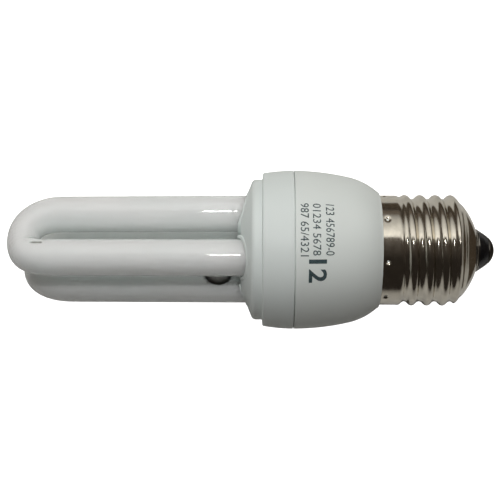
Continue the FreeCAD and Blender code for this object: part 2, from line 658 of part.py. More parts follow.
def rod(name, radius, length, foot):
    """Cylinder along the lamp's axis from its foot, all expressions."""
    cylinder = doc.addObject("Part::Cylinder", name)
    cylinder.setExpression("Radius", radius)
    cylinder.setExpression("Height", length)
    cylinder.Placement = Placement(Vector(), Rotation(Vector(0, 1, 0), 90))
    return placed(cylinder, *foot)


def joined(name, things):
    """One solid from several."""
    union = doc.addObject("Part::MultiFuse", name)
    union.Shapes = things
    return union


def taken(name, base, tools):
    """A thing with others taken away."""
    tool = tools[0] if len(tools) == 1 else joined(name + "_tools", tools)
    cut = doc.addObject("Part::Cut", name)
    cut.Base = base
    cut.Tool = tool
    return cut


def wire_along(points, radius, bend):
    """Round wire along straight runs joined by tangent arcs."""
    edges = []
    start = points[0]
    for before, corner, after in zip(points, points[1:], points[2:]):
        back = (before - corner).normalize()
        onward = (after - corner).normalize()
        half_turn = back.getAngle(onward) / 2
        reach = bend / math.tan(half_turn)
        middle = (back + onward).normalize() * (bend / math.sin(half_turn) - bend)
        entry = corner + back * reach
        leaving = corner + onward * reach
        edges.append(Part.LineSegment(start, entry).toShape())
        edges.append(Part.Arc(entry, corner + middle, leaving).toShape())
        start = leaving
    edges.append(Part.LineSegment(start, points[-1]).toShape())
    path = Part.Wire(edges)
    section = Part.Circle(points[0], points[1] - points[0], radius).toShape()
    return path.makePipeShell([Part.Wire([section])], True, True)


def build_tube_cement():
    """Beads of cement that hold the legs in the sleeves of the holder."""
    beads = []
    radius = size("leg_diameter") / 2 + size("glass_clearance")
    start = number(FRONT) + size("sleeve_depth")
    for y_side, z_side in ((1, 1), (1, -1), (-1, 1), (-1, -1)):
        foot = Vector(start, y_side * size("leg_pitch") / 2, z_side * size("leg_pitch") / 2)
        width = radius + size("cement_width")
        length = size("cement_length")
        bead = Part.makeCone(width, width - size("cement_width") * 0.3, length, foot, Vector(1, 0, 0))
        bead = bead.cut(Part.makeCylinder(radius, length, foot, Vector(1, 0, 0)))
        beads.append(bead)
    turn_with_legs(feature("tube_cement", Part.makeCompound(beads)))


def pin_places():
    """Wrap pins beside the two legs with pinch seals, as (y, z) in the frame of the legs."""
    circle_radius = number(INSIDE_RADIUS) - size("pin_inset")
    spread = size("pin_angle")
    angles = [-45 + spread, -45 - spread, -135 - spread, -135 + spread]
    return [(circle_radius * math.cos(math.radians(angle)),
             circle_radius * math.sin(math.radians(angle))) for angle in angles]


def build_circuit_board():
    """Round board that rests on the holder's spigot, with holes for the wrap pins."""
    back = number(BOARD_FRONT)
    radius = number(INSIDE_RADIUS) - size("board_clearance")
    axis = Vector(1, 0, 0)
    board = Part.makeCylinder(radius, size("board_thickness"), Vector(back, 0, 0), axis)
    hole = size("pin_radius") + size("pin_clearance")
    for y, z in pin_places():
        board = board.cut(Part.makeCylinder(hole, size("board_thickness"), Vector(back, y, z), axis))
    turn_with_legs(feature("circuit_board", board))


def build_wrap_pins():
    """Pins that the filament leads are wound on."""
    front = number(BOARD_FRONT) - size("pin_height")
    length = size("pin_height") + size("board_thickness")
    pins = [Part.makeCylinder(size("pin_radius"), length, Vector(front, y, z), Vector(1, 0, 0))
            for y, z in pin_places()]
    turn_with_legs(feature("wrap_pins", Part.makeCompound(pins)))


def build_filament_leads():
    """Bare leads from the pinch seals to the wrap pins, each in one piece."""
    seal = number(LEG_END) + size("pinch_length")
    half_pitch = size("leg_pitch") / 2
    half_gap = size("lead_gap") / 2
    starts = [(half_pitch + half_gap, -half_pitch), (half_pitch - half_gap, -half_pitch),
              (-half_pitch - half_gap, -half_pitch), (-half_pitch + half_gap, -half_pitch)]
    pin_front = number(BOARD_FRONT) - size("pin_height")
    for index, (start, pin) in enumerate(zip(starts, pin_places()), start=1):
        first = Vector(seal, *start)
        corner = first + Vector(4 * size("lead_radius") + size("lead_bend"), 0, 0)
        target = Vector(pin_front + size("pin_height") / 2, *pin)
        towards = (target - corner).normalize()
        sideways = math.hypot(towards.y, towards.z)
        stop = (size("pin_radius") + size("lead_radius") / 2) / sideways
        end = target - towards * stop
        lead = wire_along([first, corner, end], size("lead_radius"), size("lead_bend"))
        turn_with_legs(feature(f"filament_lead_{index}", lead))


def build_electrolytic_capacitor():
    """Can with its crimp groove, standing on the board and reaching into the cap's neck."""
    body = doc.addObject("PartDesign::Body", "electrolytic_capacitor")
    groove = "sizes.capacitor_groove"
    radius = "sizes.capacitor_radius"
    turned(body, "can", [
        ("0", "0", None),
        ("0", f"{radius} - {groove}", None),
        (groove, radius, None),
        (f"3 * {groove}", radius, None),
        (f"4 * {groove}", f"{radius} - {groove}", None),
        (f"5 * {groove}", f"{radius} - {groove}", None),
        (f"6 * {groove}", radius, None),
        (f"sizes.capacitor_length - {groove}", radius, None),
        ("sizes.capacitor_length", f"{radius} - {groove}", None),
        ("sizes.capacitor_length", "0", None),
    ])
    placed(body, f"{BOARD_BACK} + sizes.part_gap", "sizes.capacitor_y", "sizes.capacitor_z")
    keep(body, "electrolytic_capacitor")


def build_choke():
    """Choke: core of two E halves, its bobbin and its winding."""
    base = f"({BOARD_BACK} + sizes.part_gap)"
    core_foot = f"({base} + sizes.bobbin_base + sizes.bobbin_clearance)"
    core_low = "(sizes.core_z - sizes.core_depth / 2)"
    window = "(sizes.core_height - 2 * sizes.core_yoke)"
    window_foot = f"({core_foot} + sizes.core_yoke)"
    outer = block("core_block", ("sizes.core_height", "sizes.core_width", "sizes.core_depth"),
                  (core_foot, "-sizes.core_width / 2", core_low))
    windows = []
    for name, low in (("core_window_near", "sizes.core_leg / 2"),
                      ("core_window_far", "-sizes.core_leg / 2 - sizes.core_window")):
        windows.append(block(name, (window, "sizes.core_window", "sizes.core_depth"),
                             (window_foot, low, core_low)))
    keep(taken("choke_core", outer, windows), "choke_core")
    clear = "sizes.bobbin_clearance"
    leg = f"(sizes.core_leg / 2 + {clear})"
    leg_z = f"(sizes.core_depth / 2 + {clear})"
    tube = f"({leg} + sizes.bobbin_wall)"
    tube_z = f"({leg_z} + sizes.bobbin_wall)"
    wide = f"(sizes.core_leg / 2 + sizes.core_window - {clear})"
    wide_z = "(sizes.core_depth / 2 + sizes.bobbin_reach)"
    flange_foot = f"({window_foot} + {clear})"
    flange_span = f"({window} - 2 * {clear})"

    def around(name, length, half_y, half_z, foot):
        return block(name, (length, f"2 * {half_y}", f"2 * {half_z}"),
                     (foot, f"-{half_y}", f"sizes.core_z - {half_z}"))

    far_flange = f"({flange_foot} + {flange_span} - sizes.bobbin_wall)"
    base_plate = block("bobbin_base_plate", ("sizes.bobbin_base", "sizes.core_width",
                                             f"2 * {wide_z}"),
                       (base, "-sizes.core_width / 2", f"sizes.core_z - {wide_z}"))
    post_span = f"({flange_foot} - {base} + sizes.bobbin_wall)"
    post_depth = f"({wide_z} - {leg_z})"
    posts = [block("bobbin_post_near", (post_span, f"2 * {wide}", post_depth),
                   (base, f"-{wide}", f"sizes.core_z + {leg_z}")),
             block("bobbin_post_far", (post_span, f"2 * {wide}", post_depth),
                   (base, f"-{wide}", f"sizes.core_z - {wide_z}"))]
    solid_bobbin = joined("bobbin_blank", posts + [
        base_plate,
        around("bobbin_tube", flange_span, tube, tube_z, flange_foot),
        around("bobbin_near_flange", "sizes.bobbin_wall", wide, wide_z, flange_foot),
        around("bobbin_far_flange", "sizes.bobbin_wall", wide, wide_z, far_flange)])
    bore = around("bobbin_bore", f"({flange_span} + 2 * {clear})", leg, leg_z, window_foot)
    keep(taken("choke_bobbin", solid_bobbin, [bore]), "choke_bobbin")
    winding_foot = f"({flange_foot} + sizes.bobbin_wall)"
    winding_span = f"({flange_span} - 2 * sizes.bobbin_wall)"
    coil = around("winding_block", winding_span, f"({wide} - {clear})", f"({wide_z} - {clear})",
                  winding_foot)
    rounded = doc.addObject("Part::Fillet", "winding_rounded")
    rounded.Base = coil
    doc.recompute()
    long_edges = [index for index, edge in enumerate(coil.Shape.Edges, start=1)
                  if edge.BoundBox.YLength < 1e-6 and edge.BoundBox.ZLength < 1e-6]
    rounded.Edges = [(index, size("bobbin_wall"), size("bobbin_wall")) for index in long_edges]
    hollow = around("winding_bore", winding_span, tube, tube_z, winding_foot)
    keep(taken("choke_winding", rounded, [hollow]), "choke_winding")


def build_ring_transformer():
    """Small ring core and its three windings, flat on the board."""
    turn = size("toroid_section") + size("turn_radius") + size("turn_clearance")
    height = turn + size("turn_radius") + size("part_gap")
    middle = Vector(number(BOARD_BACK) + height, size("toroid_y"), size("toroid_z"))
    axis = Vector(1, 0, 0)
    core = Part.makeTorus(size("toroid_radius"), size("toroid_section"), middle, axis)
    feature("ring_core", core)
    spacing = 2.4 * size("turn_radius") / (size("toroid_radius") - turn)
    turns = []
    for winding in range(3):
        for step in (-1, 0, 1):
            angle = 2 * math.pi * winding / 3 + step * spacing
            outwards = Vector(0, math.cos(angle), math.sin(angle))
            tangent = Vector(0, -math.sin(angle), math.cos(angle))
            centre = middle + outwards * size("toroid_radius")
            turns.append(Part.makeTorus(turn, size("turn_radius"), centre, tangent))
    feature("ring_windings", Part.makeCompound(turns))


def build_transistors():
    """Two transistors with a flat face, each on three legs."""
    foot = f"({BOARD_BACK} + sizes.part_gap)"
    body_foot = f"({foot} + sizes.transistor_legs)"
    for index in (1, 2):
        z = f"(sizes.transistor_z - {index - 1} * sizes.transistor_step)"
        name = f"switching_transistor_{index}"
        whole = rod(name + "_round", "sizes.transistor_radius", "sizes.transistor_height",
                    (body_foot, "sizes.transistor_y", z))
        beyond = block(name + "_face", ("sizes.transistor_height", "sizes.transistor_radius",
                                        "2 * sizes.transistor_radius"),
                       (body_foot, "sizes.transistor_y + sizes.transistor_flat",
                        f"{z} - sizes.transistor_radius"))
        pieces = [taken(name + "_body", whole, [beyond])]
        for leg in (-1, 0, 1):
            leg_z = f"{z} + {leg} * sizes.transistor_flat"
            pieces.append(rod(f"{name}_leg_{leg + 2}", "sizes.axial_lead",
                              "sizes.transistor_legs + sizes.axial_stand",
                              (foot, "sizes.transistor_y", leg_z)))
        keep(joined(name, pieces), name)


def build_film_capacitors():
    """Two film capacitors with rounded edges."""
    foot = f"({BOARD_BACK} + sizes.part_gap)"
    places = (("filter_capacitor", "sizes.film_thick", "sizes.film_long", "sizes.filter_z"),
              ("resonance_capacitor", "sizes.film_long", "sizes.film_thick", "sizes.resonance_z"))
    for name, along_y, along_z, z in places:
        lengths = ("sizes.film_tall", along_y, along_z)
        case = block(name + "_case", lengths, (foot, "sizes.film_y", z))
        rounded = doc.addObject("Part::Fillet", name)
        rounded.Base = case
        doc.recompute()
        edges = [index for index, edge in enumerate(case.Shape.Edges, start=1)
                 if edge.BoundBox.XMax > case.Shape.BoundBox.XMin + 1e-6]
        rounded.Edges = [(index, size("film_round"), size("film_round")) for index in edges]
        keep(rounded, name)


def axial_part(radius, length, y, z, across):
    """Upright axial part: its body, the lead under it and the lead bent back down beside it."""
    foot = number(BOARD_BACK) + size("part_gap")
    base = foot + size("axial_stand")
    lead = size("axial_lead")
    axis = Vector(1, 0, 0)
    body = Part.makeCylinder(radius, length, Vector(base, y, z), axis)
    body = body.makeFillet(lead, [edge for edge in body.Edges if edge.Closed])
    below = Part.makeCylinder(lead, size("axial_stand") + lead, Vector(foot, y, z), axis)
    top = Vector(base + length - lead, y, z)
    turn_radius = size("hairpin") / 2
    crown = Vector(base + length + 3 * lead, y, z) + across * turn_radius
    start = Vector(crown.x, y, z)
    far = start + across * size("hairpin")
    path = Part.Wire([Part.LineSegment(top, start).toShape(),
                      Part.Arc(start, crown + axis * turn_radius, far).toShape(),
                      Part.LineSegment(far, Vector(foot, far.y, far.z)).toShape()])
    section = Part.Wire([Part.Circle(top, axis, lead).toShape()])
    hairpin = path.makePipeShell([section], True, True)
    return body.fuse([below, hairpin])


def build_axial_parts():
    """Rectifier diodes, trigger diode and resistors, upright on the board."""
    down = Vector(0, 0, -1)
    diodes = []
    for column in range(2):
        for row_number in range(2):
            y = size("diode_y") + column * size("diode_step_y")
            z = size("diode_z") - row_number * size("diode_step_z")
            diodes.append(axial_part(size("diode_radius"), size("diode_length"), y, z, down))
    feature("rectifier_diodes", Part.makeCompound(diodes))
    strip = (size("core_z") + size("core_depth") / 2 + size("bobbin_reach")
             + size("capacitor_z") - size("capacitor_radius")) / 2
    sideways = Vector(0, 1, 0)
    row = (("base_resistor_1", "resistor"), ("base_resistor_2", "resistor"),
           ("trigger_diode", "diac"))
    for index, (name, kind) in enumerate(row):
        y = size("strip_y") + index * size("strip_step")
        shape = axial_part(size(kind + "_radius"), size(kind + "_length"), y, strip, sideways)
        feature(name, shape)


def build_supply_leads():
    """Fusible resistor with the lead to the contact, and the lead to the cap's shell."""
    foot = number(BOARD_BACK) + size("part_gap")
    radius = size("supply_lead_radius")
    axis = Vector(1, 0, 0)
    y = size("fuse_y")
    z = size("fuse_z")
    base = foot + size("axial_stand")
    fuse = Part.makeCylinder(size("fuse_radius"), size("fuse_length"), Vector(base, y, z), axis)
    fuse = fuse.makeFillet(radius, [edge for edge in fuse.Edges if edge.Closed])
    below = Part.makeCylinder(radius, size("axial_stand") + radius, Vector(foot, y, z), axis)
    feature("fusible_resistor", fuse.fuse(below))
    top = base + size("fuse_length")
    stem = size("rim_place") - size("glass_flange_back") - size("stem_tail")
    spigot_end = size("spigot_length")
    route = [Vector(top, y, z), Vector(size("contact_rise"), y, z),
             Vector(spigot_end + size("contact_turn"), 0, 0), Vector(stem, 0, 0)]
    feature("contact_lead", wire_along(route, radius, size("supply_lead_bend")))
    angle = math.radians(size("earth_angle"))
    outwards = Vector(0, math.cos(angle), math.sin(angle))
    low = outwards * (number(INSIDE_RADIUS) - size("earth_inset"))
    inner_neck = outwards * (number(SPIGOT_INSIDE) - 3 * radius)
    soldered = outwards * (size("cap_radius") - size("skirt_step") - size("cap_wall") - radius)
    last_bend = spigot_end + size("earth_turn")
    route = [axis * foot + low,
             axis * (foot + size("earth_rise")) + low,
             axis * -size("housing_wall") + inner_neck,
             axis * last_bend + inner_neck,
             axis * (last_bend + size("earth_end")) + soldered]
    feature("shell_lead", wire_along(route, radius, radius * 3))


build_discharge_tube()
build_tube_holder()
build_tube_cement()
build_ballast_housing()
build_screw_shell()
build_cap_insulator()
build_centre_contact()
build_circuit_board()
build_wrap_pins()
build_filament_leads()
build_electrolytic_capacitor()
build_choke()
build_ring_transformer()
build_transistors()
build_film_capacitors()
build_axial_parts()
build_supply_leads()
doc.recompute()

for item in doc.Objects:
    if "Invalid" in item.State or "Error" in item.State:
        raise RuntimeError(f"{item.Label} failed: {item.State}")
for item in subparts:
    if item.Shape.isNull() or not item.Shape.isValid():
        raise RuntimeError(f"{item.Label} has no valid shape")

os.makedirs("parts", exist_ok=True)
for item in subparts:
    item.Shape.exportStep(os.path.join("parts", item.Label + ".step"))
    print(f"{item.Label}: {len(item.Shape.Solids)} solid, {item.Shape.Volume:.1f} mm3")
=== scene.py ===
"""Looks of the U shaped fluorescent bulb: coated glass, white mouldings, nickel cap and stage."""
import json
import math

import bpy
from bpy.props import FloatProperty, FloatVectorProperty, IntProperty, PointerProperty
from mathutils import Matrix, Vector


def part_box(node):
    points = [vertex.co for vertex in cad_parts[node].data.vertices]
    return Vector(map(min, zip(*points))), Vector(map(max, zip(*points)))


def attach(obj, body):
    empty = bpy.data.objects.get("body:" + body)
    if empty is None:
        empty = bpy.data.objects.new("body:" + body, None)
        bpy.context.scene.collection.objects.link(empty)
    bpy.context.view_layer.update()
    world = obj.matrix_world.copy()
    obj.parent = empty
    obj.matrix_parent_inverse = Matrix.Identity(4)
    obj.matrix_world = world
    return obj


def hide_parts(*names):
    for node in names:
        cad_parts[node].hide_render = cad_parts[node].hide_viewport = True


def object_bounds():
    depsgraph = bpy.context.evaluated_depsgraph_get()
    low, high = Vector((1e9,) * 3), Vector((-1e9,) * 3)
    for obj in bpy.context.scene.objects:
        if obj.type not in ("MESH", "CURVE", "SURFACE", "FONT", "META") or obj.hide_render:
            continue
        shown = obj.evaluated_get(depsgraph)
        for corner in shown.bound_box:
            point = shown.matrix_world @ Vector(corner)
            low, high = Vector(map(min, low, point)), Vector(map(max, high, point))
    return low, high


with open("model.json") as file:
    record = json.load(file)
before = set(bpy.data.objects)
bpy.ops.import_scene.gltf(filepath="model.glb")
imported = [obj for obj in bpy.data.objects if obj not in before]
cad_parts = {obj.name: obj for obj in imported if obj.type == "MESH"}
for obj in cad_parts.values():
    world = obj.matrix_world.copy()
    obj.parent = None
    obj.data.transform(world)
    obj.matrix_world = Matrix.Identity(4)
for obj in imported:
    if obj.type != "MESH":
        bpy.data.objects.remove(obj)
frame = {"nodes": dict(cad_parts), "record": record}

bl_info = {
    "name": "U shaped fluorescent bulb",
    "version": (1, 0, 0),
    "blender": (4, 5, 0),
    "location": "View3D > Sidebar > Lamp",
    "description": "Dresses the CAD model of a fluorescent lamp in glass, plastic and nickel",
    "category": "Object",
}

MM = 0.001

CAD_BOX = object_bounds()
TUBE_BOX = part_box("discharge_tube")
HOLDER_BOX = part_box("tube_holder")
HOUSING_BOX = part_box("ballast_housing")
SHELL_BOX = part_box("screw_shell")
INSULATOR_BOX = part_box("cap_insulator")
CONTACT_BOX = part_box("centre_contact")

# How far the rims of the holder's holes stand in front of its middle, in millimetres
RIM_HEIGHT = 0.8

# Places along the lamp's axis and a radius in millimetres, from the CAD
TUBE_TIP = TUBE_BOX[0].x / MM
FRONT = HOLDER_BOX[0].x / MM + RIM_HEIGHT
SEAM = HOUSING_BOX[0].x / MM
SEAM_RADIUS = HOUSING_BOX[1].z / MM
CAP_END = SHELL_BOX[1].x / MM
GLASS_FRONT = INSULATOR_BOX[1].x / MM
CONTACT_TIP = CONTACT_BOX[1].x / MM

# Open part of the seam between the holder and the housing, in millimetres
SEAM_GAP = 0.2

# The short fold pinched into the front of the upper U's bend, and the painted shade along its
# crease, in millimetres
PINCH_LEFT = -80.3
PINCH_RIGHT = -78.0
PINCH_Y = 1.4
PINCH_WIDTH = 0.26
PINCH_DEPTH = 0.9
PINCH_LOW = 4.0


def hex_colour(code):
    """Linear colour with alpha from an sRGB hex value."""
    channels = [int(code[place:place + 2], 16) / 255 for place in (1, 3, 5)]
    linear = [c / 12.92 if c <= 0.04045 else ((c + 0.055) / 1.055) ** 2.4 for c in channels]
    return (*linear, 1.0)


class LampSizes(bpy.types.PropertyGroup):
    """Sizes of the lamp that the dressed pieces follow."""
    leg_diameter: FloatProperty(
        name="Tube", description="Outside of the glass tube", default=8.5 * MM, unit="LENGTH")
    leg_pitch: FloatProperty(
        name="Leg pitch", description="Side of the square of legs", default=12.25 * MM,
        unit="LENGTH")
    leg_turn: FloatProperty(
        name="Leg turn", description="Turn of the leg square about the lamp's axis",
        default=math.radians(57.4), subtype="ANGLE")
    bend_length: FloatProperty(
        name="Bend", description="Part of each U that bends", default=12.8 * MM, unit="LENGTH")
    bend_thickness: FloatProperty(
        name="Bend tip", description="Flattened tube at the fold", default=6.1 * MM,
        unit="LENGTH")
    bend_fullness: FloatProperty(
        name="Bend fullness", description="Exponent of the bend's outer outline", default=2.2)
    upper_pitch: FloatProperty(
        name="Upper pitch", description="Pitch at the upper U's bend over that at the holder",
        default=0.98)
    lower_pitch: FloatProperty(
        name="Lower pitch", description="Pitch at the lower U's bend over that at the holder",
        default=1.0)
    bend_drift: FloatProperty(
        name="Bend drift", description="Sideways shift of each bend towards the nearer leg",
        default=1.0 * MM, unit="LENGTH")
    crease: FloatProperty(
        name="Crease", description="Fold of the glass inside the bend", default=1.2 * MM,
        unit="LENGTH")
    setback: FloatProperty(
        name="Setback", description="How much shorter the lower U tube stands",
        default=2.1 * MM, unit="LENGTH")
    upper_sag: FloatProperty(
        name="Upper sag", description="Shift of the upper U's bend from its legs' line",
        default=0.25 * MM, unit="LENGTH")
    sheet: FloatProperty(
        name="Cap sheet", description="Sheet metal of the cap", default=0.28 * MM,
        unit="LENGTH")
    thread_pitch: FloatProperty(
        name="Thread pitch", description="Seven turns to the inch", default=3.629 * MM,
        unit="LENGTH")
    dimples: IntProperty(
        name="Dimples", description="Punched dimples round the skirt", default=8)


class LampColours(bpy.types.PropertyGroup):
    """Colours of the lamp's visible materials."""
    powder: FloatVectorProperty(
        name="Powder", description="Phosphor seen through the glass", size=4,
        subtype="COLOR", default=hex_colour("#F4FCFA"))
    plastic: FloatVectorProperty(
        name="Plastic", description="White moulded plastic", size=4,
        subtype="COLOR", default=hex_colour("#EBF1EF"))
    nickel: FloatVectorProperty(
        name="Nickel", description="Nickel plate of the cap", size=4,
        subtype="COLOR", default=hex_colour("#E0DACD"))
    insulator: FloatVectorProperty(
        name="Insulator", description="Black cap glass", size=4,
        subtype="COLOR", default=hex_colour("#0B0B0D"))
    ink: FloatVectorProperty(
        name="Ink", description="Printed figures", size=4,
        subtype="COLOR", default=hex_colour("#39474A"))


# Shader nodes

def add_node(tree, kind, settings=None, inputs=None):
    """Adds a node with its settings and its inputs, each a value or another node's output."""
    node = tree.nodes.new(kind)
    for name, value in (settings or {}).items():
        setattr(node, name, value)
    for name, value in (inputs or {}).items():
        if isinstance(value, bpy.types.NodeSocket):
            tree.links.new(value, node.inputs[name])
        else:
            node.inputs[name].default_value = value
    return node


def empty_tree(owner):
    """The node tree of a material or world, without the nodes that it starts with."""
    owner.use_nodes = True
    owner.node_tree.nodes.clear()
    return owner.node_tree


def new_material(name, shader_inputs):
    """A material with one principled shader, and its tree, shader and object coordinates."""
    material = bpy.data.materials.new(name)
    tree = empty_tree(material)
    shader = add_node(tree, "ShaderNodeBsdfPrincipled", inputs=shader_inputs)
    add_node(tree, "ShaderNodeOutputMaterial", inputs={"Surface": shader.outputs["BSDF"]})
    place = add_node(tree, "ShaderNodeTexCoord").outputs["Object"]
    return material, tree, shader, place


def noise(tree, place, size, detail=2.0, stretch=(1.0, 1.0, 1.0)):
    """Pattern with grains of a size in millimetres, stretched along the axes."""
    scaled = add_node(tree, "ShaderNodeMapping", inputs={"Vector": place, "Scale": stretch})
    return add_node(tree, "ShaderNodeTexNoise", inputs={
        "Vector": scaled.outputs["Vector"], "Scale": 1 / (size * MM), "Detail": detail,
    }).outputs["Fac"]


def two_tone(tree, factor, first, second, low=0.35, high=0.65):
    """Mixes two colours where a pattern runs from low to high."""
    part = add_node(tree, "ShaderNodeMapRange", inputs={
        "Value": factor, "From Min": low, "From Max": high}).outputs["Result"]
    return add_node(tree, "ShaderNodeMix", {"data_type": "RGBA"}, {
        0: part, 6: first, 7: second}).outputs[2]


def cover(tree, shader, colour, pattern, depth, socket="Normal", rough=None, span=(0.0, 1.0)):
    """Gives a shader its colour, and from a pattern its relief in millimetres and roughness."""
    relief = add_node(tree, "ShaderNodeBump", inputs={"Height": pattern, "Distance": depth * MM})
    tree.links.new(colour, shader.inputs["Base Color"])
    tree.links.new(relief.outputs["Normal"], shader.inputs[socket])
    if rough:
        part = add_node(tree, "ShaderNodeMapRange", inputs={
            "Value": pattern, "From Min": span[0], "From Max": span[1],
            "To Min": rough[0], "To Max": rough[1]})
        tree.links.new(part.outputs["Result"], shader.inputs["Roughness"])


def shade(colour, factor):
    """A colour made darker or lighter."""
    return (*[min(channel * factor, 1.0) for channel in colour[:3]], 1.0)


# Materials of the outside

def pinch_crease_painted_shade(tree, split):
    """Factor that is one along the fold of the upper bend, where its crease gets a painted shade.
    """
    offset = add_node(tree, "ShaderNodeMath", {"operation": "SUBTRACT"}, {
        0: split.outputs["Y"], 1: PINCH_Y * MM})
    away = add_node(tree, "ShaderNodeMath", {"operation": "ABSOLUTE"},
                    {0: offset.outputs["Value"]})
    # Each value with the place where the painted shade begins and the one where it is full
    limits = ((split.outputs["X"], PINCH_LEFT - 0.5, PINCH_LEFT + 0.2),
              (split.outputs["X"], PINCH_RIGHT + 0.4, PINCH_RIGHT - 0.1),
              (away.outputs["Value"], PINCH_WIDTH, 0.05),
              (split.outputs["Z"], PINCH_LOW, PINCH_LOW + 1.0))
    factor = 1.0
    for value, start, end in limits:
        part = add_node(tree, "ShaderNodeMapRange", inputs={
            "Value": value, "From Min": start * MM, "From Max": end * MM}).outputs["Result"]
        factor = add_node(tree, "ShaderNodeMath", {"operation": "MULTIPLY"},
                          {0: factor, 1: part}).outputs["Value"]
    return factor


def coated_glass(colours):
    """Soda-lime glass tube with phosphor powder inside.

    The powder scatters all light, so the tube looks like matt white under a clear gloss.
    The drawn tube is smooth, and the bends pressed in the flame have an orange peel skin.
    """
    peel_start = TUBE_TIP + 12
    peel_full = TUBE_TIP + 3
    powder = tuple(colours.powder)
    material, tree, shader, place = new_material("phosphor_coated_glass", {
        "Roughness": 0.6, "IOR": 1.5, "Subsurface Weight": 1.0,
        "Subsurface Radius": (1.0, 1.0, 1.0), "Subsurface Scale": 8 * MM,
        "Coat Weight": 1.0, "Coat Roughness": 0.02, "Coat IOR": 1.52})
    cloud = noise(tree, place, 9.0, 3.0, (0.4, 1.0, 1.0))
    coat = two_tone(tree, cloud, shade(powder, 0.95), powder, 0.3, 0.7)
    split = add_node(tree, "ShaderNodeSeparateXYZ", inputs={"Vector": place})
    # Painted shade: a grey mixed into the powder's colour along the crease of the upper bend's
    # fold
    coat_with_painted_shade = add_node(tree, "ShaderNodeMix", {"data_type": "RGBA"}, {
        0: pinch_crease_painted_shade(tree, split), 6: coat, 7: hex_colour("#8C8C85")})
    bend = add_node(tree, "ShaderNodeMapRange", inputs={
        "Value": split.outputs["X"], "From Min": peel_start * MM, "From Max": peel_full * MM})
    peel = add_node(tree, "ShaderNodeMath", {"operation": "MULTIPLY"}, {
        0: noise(tree, place, 0.6, 3.0), 1: bend.outputs["Result"]})
    cover(tree, shader, coat_with_painted_shade.outputs[2], peel.outputs["Value"], 0.35, "Coat Normal")
    return material


def white_plastic(colours, name, tint):
    """Injection-moulded PBT, white with a faint cold tint, satin from a fine-blasted mould."""
    plastic = (*[channel * part for channel, part in zip(colours.plastic, tint)], 1.0)
    material, tree, shader, place = new_material(name, {"Roughness": 0.42, "IOR": 1.55})
    flow = noise(tree, place, 14.0)
    grain = noise(tree, place, 0.35)
    colour = two_tone(tree, flow, shade(plastic, 0.975), plastic, 0.3, 0.7)
    cover(tree, shader, colour, grain, 0.004)
    return material


def nickel_plate(colours):
    """Brass sheet, deep drawn, thread rolled, then nickel plated: warm, bright, faintly lined."""
    nickel = tuple(colours.nickel)
    material, tree, shader, place = new_material("nickel_plated_brass", {"Metallic": 1.0})
    cloud = noise(tree, place, 2.5, 4.0)
    lines = noise(tree, place, 0.22, 3.0, (1.0, 0.06, 0.06))
    colour = two_tone(tree, cloud, shade(nickel, 0.82), nickel, 0.3, 0.6)
    cover(tree, shader, colour, lines, 0.003, rough=(0.10, 0.20), span=(0.3, 0.7))
    return material


def black_glass(colours):
    """Glass pressed hot into the cap: black, with a fire-polished, slightly wavy skin."""
    glass = tuple(colours.insulator)
    material, tree, shader, place = new_material("black_cap_glass", {"IOR": 1.55})
    cloud = noise(tree, place, 1.2, 3.0)
    colour = two_tone(tree, cloud, glass, shade(glass, 1.8))
    cover(tree, shader, colour, cloud, 0.05, rough=(0.12, 0.3))
    return material


def tinned_contact():
    """Brass eyelet under a domed drop of solder, dulled grey by oxide."""
    grey = hex_colour("#6E6B66")
    material, tree, shader, place = new_material("tinned_contact", {"Metallic": 1.0})
    cloud = noise(tree, place, 0.8, 4.0)
    colour = two_tone(tree, cloud, shade(grey, 0.55), grey)
    cover(tree, shader, colour, cloud, 0.03, rough=(0.2, 0.45))
    return material


def pad_ink(colours):
    """Pad-printed ink: a thin grey film, uneven in tone where it lies thinner."""
    ink = tuple(colours.ink)
    material, tree, shader, place = new_material("pad_printed_ink", {"Roughness": 0.5})
    film = noise(tree, place, 0.3, 3.0)
    tree.links.new(two_tone(tree, film, ink, shade(ink, 1.7)), shader.inputs["Base Color"])
    return material


# Materials of the ballast inside

def grained(name, colour, grain, depth, roughness, metallic=0.0, stretch=(1.0, 1.0, 1.0)):
    """A plain finish with a grain of a size and depth in millimetres and two close tones."""
    base = hex_colour(colour)
    material, tree, shader, place = new_material(name, {
        "Roughness": roughness, "Metallic": metallic})
    pattern = noise(tree, place, grain, 3.0, stretch)
    cover(tree, shader, two_tone(tree, pattern, shade(base, 0.75), base), pattern, depth)
    return material


